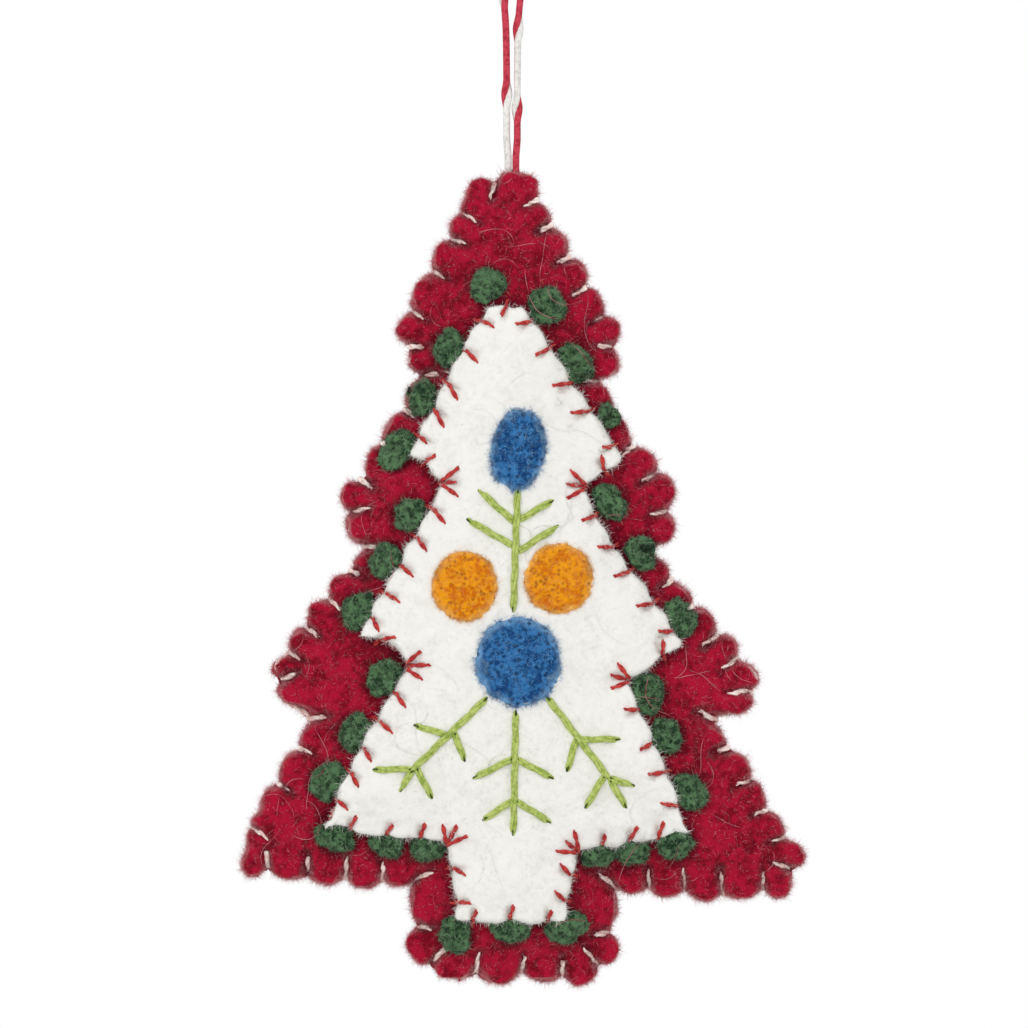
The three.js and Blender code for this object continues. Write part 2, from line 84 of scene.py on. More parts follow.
class Wire:
    __add__, __radd__ = bothWays("ADD")
    __sub__, __rsub__ = bothWays("SUBTRACT")
    __mul__, __rmul__ = bothWays("MULTIPLY")

    def __init__(self, tree, socket):
        self.tree = tree
        self.socket = socket

    def node(self, kind, settings, sockets, out=0):
        made = self.tree.nodes.new(kind)
        for key, value in settings.items():
            setattr(made, key, value)
        for key, value in sockets.items():
            if isinstance(value, Wire):
                value.into(made, key)
            else:
                made.inputs[key].default_value = value
        return Wire(self.tree, made.outputs[out])

    def into(self, node, key):
        self.tree.links.new(self.socket, node.inputs[key])

    def maths(self, operation, *values):
        return self.node("ShaderNodeMath", {"operation": operation}, dict(enumerate(values)))

    def spread(self, low, high):
        return self.node("ShaderNodeMapRange", {"interpolation_type": "SMOOTHSTEP"},
                         {"Value": self, "From Min": low, "From Max": high})

    def noise(self, scale, detail, roughness, distortion=0.0):
        return self.node("ShaderNodeTexNoise", {}, {"Vector": self, "Scale": scale, "Detail": detail,
                                                    "Roughness": roughness, "Distortion": distortion})

    def pits(self, scale, core, width):
        # small needle holes at scattered places
        near = self.node("ShaderNodeTexVoronoi", {}, {"Vector": self, "Scale": scale})
        return 1 - near.spread(core, width)

    def tint(self, first, second):
        # from the first colour to the second as this value goes from 0 to 1
        return self.node("ShaderNodeMix", {"data_type": "RGBA"}, {0: self, 6: first, 7: second}, out=2)

    def attribute(self, name):
        return self.node("ShaderNodeAttribute", {"attribute_name": name}, {}, out=2)

    def bump(self, strength, distance, height):
        return self.node("ShaderNodeBump", {}, {"Strength": strength, "Distance": distance, "Height": height})


def linear(code):
    parts = [int(code[i:i + 2], 16) / 255 for i in (1, 3, 5)]
    return tuple(p / 12.92 if p <= 0.04045 else ((p + 0.055) / 1.055) ** 2.4 for p in parts) + (1.0,)


woolSurface = {"specular": 0.1, "sheenRoughness": 0.45, "feltRoughness": 0.95, "threadRoughness": 0.8,
               "threadBump": 0.5, "threadDeep": 0.0001}
# detail, roughness and distortion of each kind of noise, and how strongly each kind shows
feltMix = {
    "blotch": (2, 0.5), "tuft": (3, 0.6, 0.5), "speck": (2, 0.6), "blotchShare": 0.45, "tuftShare": 0.55,
    "rimPlain": 0.35, "rimSpeck": 0.65, "speckHigh": 0.25,
    "pit": (0.1575, 0.45), "pitWhere": (0.36, 0.6), "pitShade": 0.85, "pitDeep": 0.8,
}
threadMix = {"streak": (3, 0.6, 0.6), "speck": (2, 0.5), "speckFiner": 3, "streakFrom": 0.35,
             "streakHigh": 0.6, "speckHigh": 0.4}


def startMaterial(name, roughness, sheen):
    material = bpy.data.materials.new(name)
    material.use_nodes = True
    shader = material.node_tree.nodes["Principled BSDF"]
    shader.inputs["Roughness"].default_value = roughness
    shader.inputs["Specular IOR Level"].default_value = woolSurface["specular"]
    shader.inputs["Sheen Weight"].default_value = sheen
    shader.inputs["Sheen Roughness"].default_value = woolSurface["sheenRoughness"]
    coordinates = material.node_tree.nodes.new("ShaderNodeTexCoord")
    return material, shader, Wire(material.node_tree, coordinates.outputs["Object"])


def feltMaterial(name, look):
    # mottled wool, with painted shade in its creases and hollows and a paler tint along its rim
    material, shader, place = startMaterial(name, woolSurface["feltRoughness"], look["sheen"])
    dark, mid, edge, shade = [linear(code) for code in look["colours"]]
    blotch, tuft, speck = [place.noise(look[kind], *feltMix[kind]) for kind in ("blotch", "tuft", "speck")]
    mottle = tuft * feltMix["tuftShare"] + blotch * feltMix["blotchShare"]
    colour = mottle.spread(*look["spread"]).tint(dark, mid)
    # paler along the rim where the piece's rim attribute says: painted light on the red felt's sideways-turned
    # rim, and the dots' paler edge
    paling = place.attribute("rim") * (feltMix["rimPlain"] + feltMix["rimSpeck"] * speck)
    colour = paling.tint(colour, edge)
    height = tuft + speck * feltMix["speckHigh"]
    if look["pits"]:
        # needle holes, darkened with painted shade and sunk by the bump
        hole = place.pits(look["pits"], *feltMix["pit"]) * blotch.spread(*feltMix["pitWhere"])
        colour = (hole * feltMix["pitShade"]).tint(colour, shade)
        height = height - hole * feltMix["pitDeep"]
    # painted shade where the piece's attribute says: creases, grooves and places beside other pieces
    place.attribute("paintedShade").tint(colour, shade).into(shader, "Base Color")
    place.bump(look["bump"], look["deep"], height).into(shader, "Normal")
    return material


def threadMaterial(name, dark, light, scale, sheen, streakTop=0.6):
    material, shader, place = startMaterial(name, woolSurface["threadRoughness"], sheen)
    streak = place.noise(scale, *threadMix["streak"])
    speck = place.noise(scale * threadMix["speckFiner"], *threadMix["speck"])
    height = streak * threadMix["streakHigh"] + speck * threadMix["speckHigh"]
    colour = streak.spread(threadMix["streakFrom"], streakTop).tint(linear(dark), linear(light))
    colour.into(shader, "Base Color")
    place.bump(woolSurface["threadBump"], woolSurface["threadDeep"], height).into(shader, "Normal")
    return material


# colours: dark, middle, pale edge (on the red felt, painted light on its rim) and painted shade for hollows and
# needle holes; the other values are what differs from plain felt
plainFelt = {"tuft": 900, "pits": 0, "bump": 0.9, "deep": 0.0004, "sheen": 0.1}
feltLooks = {
    "redFelt": {"colours": ("#720119", "#AD0F31", "#DE7480", "#430511"),
                "blotch": 330, "speck": 2470, "spread": (0.36, 0.58), "sheen": 0.18},
    "whiteFelt": {"colours": ("#EAE8E2", "#F3F2EE", "#F6F4F0", "#C9BDB4"),
                  "blotch": 160, "speck": 2340, "spread": (0.3, 0.55), "bump": 0.35, "deep": 0.0003,
                  "sheen": 0.08},
    "greenWool": {"colours": ("#1E3622", "#587C56", "#6C8C67", "#142217"),
                  "blotch": 500, "tuft": 1000, "speck": 2210, "spread": (0.38, 0.58), "pits": 1300},
    "blueWool": {"colours": ("#0C3F75", "#397BB7", "#97C5EA", "#0A2B54"),
                 "blotch": 550, "tuft": 1500, "speck": 3120, "spread": (0.4, 0.58), "pits": 1000},
    "orangeWool": {"colours": ("#D26C06", "#F5A310", "#FBCB74", "#BE640A"),
                   "blotch": 600, "tuft": 1250, "speck": 3120, "spread": (0.38, 0.57), "pits": 1300,
                   "bump": 0.8},
    "fillWool": {"colours": ("#D8D2C4", "#E9E4D8", "#E9E4D8", "#D8D2C4"),
                 "blotch": 200, "speck": 1820, "spread": (0.34, 0.6), "bump": 0.8},
}
# dark and light colour, scale of the streaks, sheen
threadLooks = {
    "paleThread": ("#F0CCC2", "#FFF5EE", 1500, 0.1),
    "redThread": ("#9C2430", "#CB4740", 1500, 0.1, 0.62),
    "leafThread": ("#93A84C", "#BDCB74", 1300, 0.1),
    "leafEnd": ("#38461F", "#56682F", 1300, 0.1),
    "redPly": ("#A82A3C", "#CF4556", 1300, 0.15),
    "whitePly": ("#D9D6D0", "#F1EFEB", 1300, 0.1),
    "redHair": ("#9C122E", "#E18F98", 700, 0.2),
    # paler than the other red hair: painted light on the fibres at the turned rim
    "redHaze": ("#C23E52", "#F0AEB0", 700, 0.2),
    "whiteHair": ("#E6E3DD", "#F8F6F3", 300, 0.1),
    "greenHair": ("#3A5738", "#8FB089", 800, 0.2),
    "blueHair": ("#25629F", "#93C1E6", 1000, 0.2),
    "strayHair": ("#A8384E", "#D98F97", 300, 0.1),
    "orangeHair": ("#EE9E20", "#FBCC7C", 1000, 0.2),
}
materials = {name: feltMaterial(name, {**plainFelt, **look}) for name, look in feltLooks.items()}
materials.update({name: threadMaterial(name, *look) for name, look in threadLooks.items()})
print("materials made:", len(materials))


# Threads: a route becomes a curve with a round section, then a mesh

def deselectAll():
    if bpy.context.object and bpy.context.object.mode != "OBJECT":
        bpy.ops.object.mode_set(mode="OBJECT")
    bpy.ops.object.select_all(action="DESELECT")


def select(piece):
    deselectAll()
    piece.select_set(True)
    bpy.context.view_layer.objects.active = piece


def addPiece(name, data):
    piece = bpy.data.objects.new(name, data)
    scene.collection.objects.link(piece)
    select(piece)
    return piece


def editAll(operation, **settings):
    # a mesh operation on the whole of the active piece
    bpy.ops.object.mode_set(mode="EDIT")
    bpy.ops.mesh.select_all(action="SELECT")
    operation(**settings)
    bpy.ops.object.mode_set(mode="OBJECT")


def joinTree(piece, slot, *nodes):
    # the piece moves with the tree and stands for these solids
    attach(piece, "tree")
    if nodes:
        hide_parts(*nodes)


def unit(vectors):
    return vectors / np.maximum(np.linalg.norm(vectors, axis=1), 1e-15)[:, None]


def stepLengths(route):
    return np.linalg.norm(np.diff(route, axis=0), axis=1)


def smooth(share):
    return share * share * (3 - 2 * share)


def evenRoute(points, step, fine=24):
    # a smooth line through the points, with places at even steps, in millimetres
    points = np.array(points, float)
    ends = np.vstack([2 * points[0] - points[1], points, 2 * points[-1] - points[-2]])
    dense = []
    for a, b, c, d in zip(ends, ends[1:], ends[2:], ends[3:]):
        for t in np.linspace(0, 1, fine, endpoint=False):
            dense.append(0.5 * (2 * b + (c - a) * t + (2 * a - 5 * b + 4 * c - d) * t ** 2
                                + (3 * b - a - 3 * c + d) * t ** 3))
    dense = np.array(dense + [points[-1]])
    along = np.concatenate([[0], np.cumsum(stepLengths(dense))])
    count = max(int(round(along[-1] / (step * mm))), 2)
    stops = np.linspace(0, along[-1], count + 1)
    return np.stack([np.interp(stops, along, dense[:, k]) for k in range(3)], axis=1)


def plyRoutes(route, offset, turns, finishes):
    # the plies of a twisted thread, one for each finish; turns is the twist at each place, in radians
    ahead = unit(np.gradient(route, axis=0))
    side = np.cross(ahead[0], (0.0, 1.0, 0.0) if abs(ahead[0][1]) < 0.8 else (1.0, 0.0, 0.0))
    sides = []
    for direction in ahead:
        side = side - direction * (side @ direction)
        side = side / np.linalg.norm(side)
        sides.append(side)
    sides = np.array(sides)
    across = np.cross(ahead, sides)
    made = []
    for k, finish in enumerate(finishes):
        angle = (turns + 2 * math.pi * k / len(finishes))[:, None]
        made.append((route + offset * mm * (np.cos(angle) * sides + np.sin(angle) * across), finish))
    return made


def threadPiece(name, routes, radius, finishes, roundness=1, ends=1.0, taper=4):
    # routes is a list of (points, index of its finish); ends is the width at both ends
    curve = bpy.data.curves.new(name, "CURVE")
    curve.dimensions = "3D"
    curve.bevel_depth = radius * mm
    curve.bevel_resolution = roundness
    curve.use_fill_caps = True
    for finish in finishes:
        curve.materials.append(materials[finish])
    for points, finish in routes:
        spline = curve.splines.new("POLY")
        spline.points.add(len(points) - 1)
        spline.points.foreach_set("co", np.column_stack([points, np.ones(len(points))]).ravel())
        fromEnd = np.minimum(np.arange(len(points)), np.arange(len(points))[::-1]) / taper
        spline.points.foreach_set("radius", ends + (1 - ends) * np.clip(fromEnd, 0, 1))
        spline.material_index = finish
    piece = addPiece(name, curve)
    bpy.ops.object.convert(target="MESH")
    bpy.ops.object.shade_smooth()
    return piece


# Hanging loop: one length of red and white twine, over the hook and down both sides

twineLoop = {
    "bend": 3.0, "bendZ": -2.3, "bendFrom": 0.25, "bendPlaces": 9, "step": 0.5,
    "thick": 1.4, "plyRadius": 0.56, "plyOffset": 0.34, "roundness": 2, "finishes": ["redPly", "whitePly"],
    "strand": [(3.0, -2.6), (2.89, -5.04), (2.29, -8.82), (1.5, -13.44), (1.0, -18.9), (0.85, -26.9),
               (0.85, -37.2)],
    # heights at which the other ply comes to the front, from the felt up
    "leftSwaps": [-30.0, -14.0, -4.0], "rightSwaps": [-32.2, -19.6, -10.0, -2.0], "swapLength": 5.0,
}
throat = {"centre": -39.9, "top": -37.2, "spread": 0.85, "pinch": 0.62, "step": 0.3, "bareBack": 5.0,
          "upper": [-36.9, -37.6, -38.4, -39.2, -39.9], "lower": [-39.8, -40.6, -41.6, -43, -46, -50, -54]}


def strandTurns(heights, swaps, first):
    # a half turn of the twist at each swap, with the red ply in front where the turns are odd
    turns = np.full(len(heights), float(first))
    for place in swaps:
        turns += smooth(np.clip((heights - place) / twineLoop["swapLength"] + 0.5, 0, 1))
    return np.pi * turns


def twinePlies(line, turns):
    return plyRoutes(line, twineLoop["plyOffset"], turns - math.pi / 2, (0, 1))


def twinePiece(name, routes):
    return threadPiece(name, routes, twineLoop["plyRadius"], twineLoop["finishes"], twineLoop["roundness"])


def loopRoute():
    left = [(-x, 0, z) for x, z in reversed(twineLoop["strand"])]
    angles = np.linspace(twineLoop["bendFrom"], math.pi - twineLoop["bendFrom"], twineLoop["bendPlaces"])
    bend = [(-twineLoop["bend"] * math.cos(a), 0, twineLoop["bendZ"] + twineLoop["bend"] * math.sin(a))
            for a in angles]
    right = [(x, 0, z) for x, z in twineLoop["strand"]]
    return evenRoute(np.array(left + bend + right) * mm, twineLoop["step"])


route = loopRoute()
isLeft = np.arange(len(route)) < len(route) / 2
heights = route[:, 2] / mm
leftTurns = strandTurns(heights, twineLoop["leftSwaps"], 0)
rightTurns = strandTurns(heights, twineLoop["rightSwaps"], 1)
# the right strand unwinds from the same turn that the left one has at the top
allTurns = len(twineLoop["leftSwaps"]) + len(twineLoop["rightSwaps"]) + 1
twist = np.where(isLeft, leftTurns, allTurns * math.pi - rightTurns)
loop = twinePiece("twine_loop", twinePlies(route, twist))
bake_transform(loop)
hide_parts("loop_crown", "loop_strand_left", "loop_strand_right")


def throatStrands(name, heightsDown):
    # the two strands side by side, from one height to another
    routes = []
    for side, swaps, first in [(-1, twineLoop["leftSwaps"], 0), (1, twineLoop["rightSwaps"], 1)]:
        points = []
        for z in heightsDown:
            closing = np.interp(z, [throat["centre"], throat["top"]], [throat["pinch"], throat["spread"]])
            points.append((side * closing, 0, z))
        line = evenRoute(np.array(points) * mm, throat["step"])
        routes += twinePlies(line, strandTurns(line[:, 2] / mm, swaps, first))
    return twinePiece(name, routes)


upper = throatStrands("twine_throat", throat["upper"])
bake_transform(upper)
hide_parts("loop_throat")
lower = throatStrands("twine_tail", throat["lower"])
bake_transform(lower)

knotShape = {"turns": 2.25, "places": 40, "reach": 1.05, "flat": 0.9, "height": -55.0, "drop": 2.2,
             "wobble": 0.3, "plyOffset": 0.3, "plyRadius": 0.38, "twist": 9}
around = np.linspace(0, knotShape["turns"] * 2 * math.pi, knotShape["places"])
knotZ = knotShape["height"] + knotShape["drop"] * (0.5 - around / around[-1])
knotZ += knotShape["wobble"] * np.sin(3 * around)
knotLine = np.column_stack([knotShape["reach"] * np.cos(around),
                            knotShape["reach"] * np.sin(around) * knotShape["flat"], knotZ]) * mm
knotTurns = np.linspace(0, knotShape["twist"], len(knotLine))
knot = threadPiece("twine_knot", plyRoutes(knotLine, knotShape["plyOffset"], knotTurns, (0, 1)),
                   knotShape["plyRadius"], twineLoop["finishes"])
joinTree(knot, "twine", "loop_knot")
print("twine throat and knot made")


# Floor, lamps and world

stageSet = {
    "floorZ": -0.32, "floorSize": 2.4, "floorTints": ("#F0F0EE", "#F6F6F4"), "floorRoughness": 0.9,
    "floorMottle": (3, 2, 0.5), "fade": (0.2, 0.95),
    "world": 0.7, "backdrop": 1.0, "white": (1, 1, 1, 1), "aim": (0, 0, -0.1),
    # place, power and size
    "lamps": {"keyLamp": ((-0.55, -0.85, 0.45), 3.8, 0.7), "fillLamp": ((0.75, -0.75, 0.0), 1.6, 0.8)},
}


def backgroundRays(tree):
    # 1 where the background is looked at, in gloss or glass too
    path = tree.nodes.new("ShaderNodeLightPath")
    kinds = ("Is Camera Ray", "Is Glossy Ray", "Is Transmission Ray")
    seen, gloss, glass = [Wire(tree, path.outputs[kind]) for kind in kinds]
    return seen.maths("MAXIMUM", seen.maths("MAXIMUM", seen, gloss), glass)


deselectAll()
bpy.ops.mesh.primitive_plane_add(size=stageSet["floorSize"], location=(0, 0, stageSet["floorZ"]))
floor = bpy.context.object
floor.name = "floor"
editAll(bpy.ops.mesh.subdivide, number_cuts=3)
floorMaterial, floorShader, floorPlace = startMaterial("paleFloor", stageSet["floorRoughness"], 0.0)
floorMottle = floorPlace.noise(*stageSet["floorMottle"])
floorMottle.tint(*map(linear, stageSet["floorTints"])).into(floorShader, "Base Color")
# the floor fades into the white background
floorTree = floorMaterial.node_tree
away = floorPlace.node("ShaderNodeVectorMath", {"operation": "LENGTH"}, {0: floorPlace}, out=1)
glow = floorPlace.node("ShaderNodeEmission", {},
                       {"Color": stageSet["white"], "Strength": stageSet["backdrop"]})
fading = away.spread(*stageSet["fade"]) * backgroundRays(floorTree)
matt = Wire(floorTree, floorShader.outputs[0])
faded = floorPlace.node("ShaderNodeMixShader", {}, {0: fading, 1: matt, 2: glow})
faded.into(floorTree.nodes["Material Output"], "Surface")
floor.data.materials.append(floorMaterial)

for name, (place, power, size) in stageSet["lamps"].items():
    bpy.ops.object.light_add(type="AREA", location=place)
    lamp = bpy.context.object
    lamp.name = name
    lamp.data.energy = power
    lamp.data.size = size
    lamp.rotation_euler = (Vector(stageSet["aim"]) - Vector(place)).to_track_quat("-Z", "Y").to_euler()

world = bpy.data.worlds.new("studio")
scene.world = world
world.use_nodes = True
world.node_tree.nodes.clear()
seen = backgroundRays(world.node_tree)
light, backdrop = [seen.node("ShaderNodeBackground", {}, {"Color": stageSet["white"], "Strength": power})
                   for power in (stageSet["world"], stageSet["backdrop"])]
shown = seen.node("ShaderNodeMixShader", {}, {0: seen, 1: light, 2: backdrop})
shown.into(world.node_tree.nodes.new("ShaderNodeOutputWorld"), "Surface")
print("stage set")


# Stitch places, along the same outlines as the solids

redSeam = [
    (-5.4, 1.9), (-17, 25.2), (-16, 30.6), (-13.9, 32.6), (-25.7, 51), (-25, 57.4), (-23.2, 59.8), (-37.2, 79),
    (-35.6, 84), (-31.7, 87.2), (-41, 104.6), (-41.4, 110.9), (-15, 112.6), (-14.8, 122.8), (-8.8, 127),
    (10.8, 127.9), (15.4, 123.8), (15.8, 113.4), (42.6, 113.9), (44.9, 108.8), (31.9, 87.2), (36.8, 85.2),
    (37.6, 80.5), (22.4, 60.6), (25.2, 58), (24.3, 50.8), (12.6, 33.6), (16, 31.4), (15.8, 25.4), (2.9, 1.9),
]
whiteEdge = [
    (-3.8, 21.9), (-15.9, 45.3), (-10.4, 49.7), (-23.6, 73.8), (-16.2, 78.7), (-30.4, 104.5), (-9.9, 106.2),
    (-8.7, 118.9), (8.3, 118.9), (9.8, 107.6), (28.1, 105.3), (17.8, 80.8), (26.4, 75.3), (10.9, 50.3),
    (17, 46), (1.4, 21.9),
]
feltTop = -42.0
# how far stitches keep from an outward corner, as a share of the pitch, and which corners are sharp
cornerGap = {"blunt": 0.5, "sharp": 0.9, "sharpBelow": -0.1}


def flatCorners(corners):
    return [Vector((x, feltTop - depth)) * mm for x, depth in corners]


def outward(start, end):
    return Vector((end.y - start.y, start.x - end.x)).normalized()


def cornerTurn(corners, i):
    # the way out of a corner, whether it is a notch, and the gap that stitches leave there
    before = outward(corners[i - 1], corners[i])
    after = outward(corners[i], corners[(i + 1) % len(corners)])
    isNotch = before.x * after.y - before.y * after.x < 0
    gap = cornerGap["sharp" if before.dot(after) < cornerGap["sharpBelow"] else "blunt"]
    return (before + after).normalized(), isNotch, 0 if isNotch else gap


def stitchesAlong(corners, pitch):
    # one stitch in every notch, none close to an outward corner
    made = []
    for i, corner in enumerate(corners):
        j = (i + 1) % len(corners)
        edge = corners[j] - corner
        normal, isNotch, gap = cornerTurn(corners, i)
        endsInNotch, endGap = cornerTurn(corners, j)[1:]
        first = pitch * gap
        last = edge.length - pitch * endGap
        gaps = max(math.floor((last - first) / pitch + 0.5), 0)
        places = [first + (last - first) * k / max(gaps, 1) for k in range(gaps + 1)]
        if gaps == 0 and not isNotch and not endsInNotch:
            places = [edge.length / 2]
        if endsInNotch:
            places.pop()
        for place in places:
            atNotch = isNotch and place == 0
            made.append({"point": corner + edge * (place / edge.length), "edge": i, "notch": atNotch,
                         "normal": normal if atNotch else outward(corner, corners[j])})
    return made


def cornerBetween(corners, start, end):
    i = (start["edge"] + 1) % len(corners)
    if start["edge"] == end["edge"] or (i == end["edge"] and end["notch"]):
        return None
    return {"point": corners[i], "normal": cornerTurn(corners, i)[0], "notch": False}


edgeSewing = {
    "pitch": 5.9, "leg": 2.5, "legRange": (0.75, 1.2), "slant": 0.5, "sunk": 0.3, "ply": 0.27, "offset": 0.2,
    "twist": 1.5, "ends": 0.5, "slide": 0.55, "turn": 0.22, "topX": -2.7, "firstDown": 5.6,
    # along a leg: share of its length inwards, height over the felt; its inner end dips into the felt
    "legStops": [(1.12, -0.5), (1.0, -0.05), (0.7, 0.2), (0.4, 0.22), (0.12, 0.2)],
    # depths at which the thread goes round the rim, and how far it stands off there
    "roundRim": (-1.6, -0.8, 0.8, 1.6), "offRim": 0.15, "runAt": 0.6,
}
whiteSewing = {
    "pitch": 5.4, "leg": 2.4, "legRange": (0.65, 1.1), "slantRange": (0.15, 0.65), "ply": 0.23, "offset": 0.17,
    "twist": 1.6, "ends": 0.65, "slide": 0.6, "turn": 0.3, "fanApart": 0.8, "fanTurn": 0.75,
    "legStops": [(1.1, -0.4), (1.0, 0.05), (0.7, 0.22), (0.4, 0.24), (0.1, 0.2)],
    # beyond the rim: millimetres outwards, height over the felt
    "pastRim": [(0.6, 0.2), (1.1, 0.0), (1.3, -0.5)],
    "nearCorner": 3.2, "cornerLeg": 0.75, "runIn": 0.2, "cornerIn": 0.4,
}
stitchStep = 0.3
runStep = 0.5
seam = flatCorners(redSeam)
whiteRim = flatCorners(whiteEdge)
seamStitches = stitchesAlong(seam, edgeSewing["pitch"] * mm)
whiteStitches = stitchesAlong(whiteRim, whiteSewing["pitch"] * mm)
lowerLeft = 10
seamTop = len(seam) - 1


def tangentOf(stitch):
    return Vector((-stitch["normal"].y, stitch["normal"].x))


def handSewn(stitches, sewing, seed):
    # each stitch a little off its even place and its straight direction
    random = np.random.default_rng(seed)
    for stitch in stitches:
        tangent = tangentOf(stitch)
        if not stitch["notch"]:
            stitch["point"] = stitch["point"] + tangent * random.uniform(-1, 1) * sewing["slide"] * mm
        stitch["normal"] = (stitch["normal"] + tangent * random.uniform(-1, 1) * sewing["turn"]).normalized()


def fanned(stitches):
    # two more stitches for each notch, which fan out beside the first
    made = []
    for stitch in stitches:
        if stitch["notch"]:
            tangent = tangentOf(stitch)
            for side in (-1, 1):
                point = stitch["point"] + tangent * side * whiteSewing["fanApart"] * mm
                normal = stitch["normal"] - tangent * side * whiteSewing["fanTurn"]
                made.append({**stitch, "point": point, "normal": normal.normalized()})
    return made


handSewn(seamStitches, edgeSewing, 3)
handSewn(whiteStitches, whiteSewing, 8)
# a few stitches set one by one: at the tip, below it and at the lower left corner
for stitch in seamStitches:
    if stitch["edge"] == seamTop:
        stitch["point"].x = edgeSewing["topX"] * mm
seamStitches[0]["point"] = seam[0] + (seam[1] - seam[0]).normalized() * edgeSewing["firstDown"] * mm
seamStitches = [stitch for stitch in seamStitches if stitch["edge"] != lowerLeft]
seamStitches[[s["edge"] for s in seamStitches].index(lowerLeft + 1) - 1]["point"] = seam[lowerLeft].copy()
print("stitches:", len(seamStitches), "round the tree,", len(whiteStitches), "round the white tree")


# Soft pieces: a merged copy of a solid, remeshed, swollen by cloth pressure and drawn in by its stitches

def copySolid(name, node):
    piece = addPiece(name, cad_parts[node].data.copy())
    piece.data.materials.clear()
    editAll(bpy.ops.mesh.remove_doubles, threshold=1e-6)
    return piece


def readPoints(piece, kind="co"):
    flat = np.zeros(len(piece.data.vertices) * 3)
    piece.data.vertices.foreach_get(kind, flat)
    return flat.reshape(-1, 3)


def readNormals(piece):
    return readPoints(piece, "normal")


def writePoints(piece, points):
    piece.data.vertices.foreach_set("co", points.ravel())
    piece.data.update()


def writeShade(piece, name, values):
    # read by the felt materials
    layer = piece.data.attributes.get(name) or piece.data.attributes.new(name, "FLOAT", "POINT")
    layer.data.foreach_set("value", values.astype(np.float32))


def readShade(piece, name):
    values = np.zeros(len(piece.data.vertices), np.float32)
    piece.data.attributes[name].data.foreach_get("value", values)
    return values


def ramp(values, low, high):
    return smooth(np.clip((values - low) / (high - low), 0, 1))


def rampMm(values, span):
    return ramp(values, span[0] * mm, span[1] * mm)


# a groove fades in outside the rim and fades out past the end of the stitch
grooveFade = {"outside": (-3.2, -1.6), "legShare": 0.75, "past": 0.9}


def stitchPull(points, stitches, leg, width):
    # how strongly each point lies in the groove under a stitch, from 0 to 1
    pull = np.zeros(len(points))
    flat = points[:, [0, 2]]
    for stitch in stitches:
        away = flat - np.array(stitch["point"])
        depth = -(away @ np.array(stitch["normal"]))
        across = away @ np.array(tangentOf(stitch))
        window = rampMm(depth, grooveFade["outside"])
        window *= 1 - ramp(depth, leg * grooveFade["legShare"], leg + grooveFade["past"] * mm)
        pull = np.maximum(pull, window * np.exp(-(across / width) ** 2))
    return pull


# how an edge of an outline loses its say in the way out: millimetres added to its distance, and the power
edgeFade = {"near": 0.6, "power": 6}


def rimPlace(points, corners):
    # depth inside the outline, the nearest place on it and the way out of it
    flat = points[:, [0, 2]]
    least = np.full(len(flat), 1e9)
    nearest = np.zeros_like(flat)
    out = np.zeros_like(flat)
    inside = np.zeros(len(flat), bool)
    for i, corner in enumerate(corners):
        a = np.array(corner)
        b = np.array(corners[(i + 1) % len(corners)])
        edge = b - a
        share = np.clip(((flat - a) @ edge) / (edge @ edge), 0, 1)
        foot = a + share[:, None] * edge
        distance = np.linalg.norm(flat - foot, axis=1)
        near = distance < least
        least[near] = distance[near]
        nearest[near] = foot[near]
        # edges count less the further they are
        farness = (distance / mm + edgeFade["near"]) ** edgeFade["power"]
        out += np.array(outward(Vector(a), Vector(b))) / farness[:, None]
        crosses = (a[1] > flat[:, 1]) != (b[1] > flat[:, 1])
        rise = b[1] - a[1] if b[1] != a[1] else 1e-12
        inside ^= crosses & (flat[:, 0] < a[0] + (flat[:, 1] - a[1]) / rise * edge[0])
    return np.where(inside, least, -least), nearest, unit(out)


def lobeRise(places, stitches, halfPitch):
    # how far a place on the rim is up the lobe between two stitches
    apart = np.full(len(places), 1e9)
    for stitch in stitches:
        apart = np.minimum(apart, np.linalg.norm(places - np.array(stitch["point"]), axis=1))
    return np.sqrt(1 - (1 - np.clip(apart / halfPitch, 0, 1)) ** 2)


def nudged(points, nudges):
    # how far each point is pushed out of the rim, in metres
    push = np.zeros(len(points))
    for x, down, reach, by in nudges:
        away = np.hypot(points[:, 0] - x * mm, points[:, 2] - (feltTop - down) * mm)
        push += by * mm * np.exp(-(away / (reach * mm)) ** 2)
    return push


def applyModifier(piece, kind, **settings):
    select(piece)
    modifier = piece.modifiers.new(kind, kind)
    for key, value in settings.items():
        setattr(modifier, key, value)
    bpy.ops.object.modifier_apply(modifier=modifier.name)


def weightGroup(piece, weight, least):
    group = piece.vertex_groups.new(name="weight")
    for i in np.nonzero(weight > least)[0]:
        group.add([int(i)], float(weight[i]), "REPLACE")
    return group.name


clothSet = {"quality": 3, "leastPin": 0.05, "keptTurn": (-0.35, 0.25)}
smoothing = {"factor": 0.5, "leastRim": 0.02}


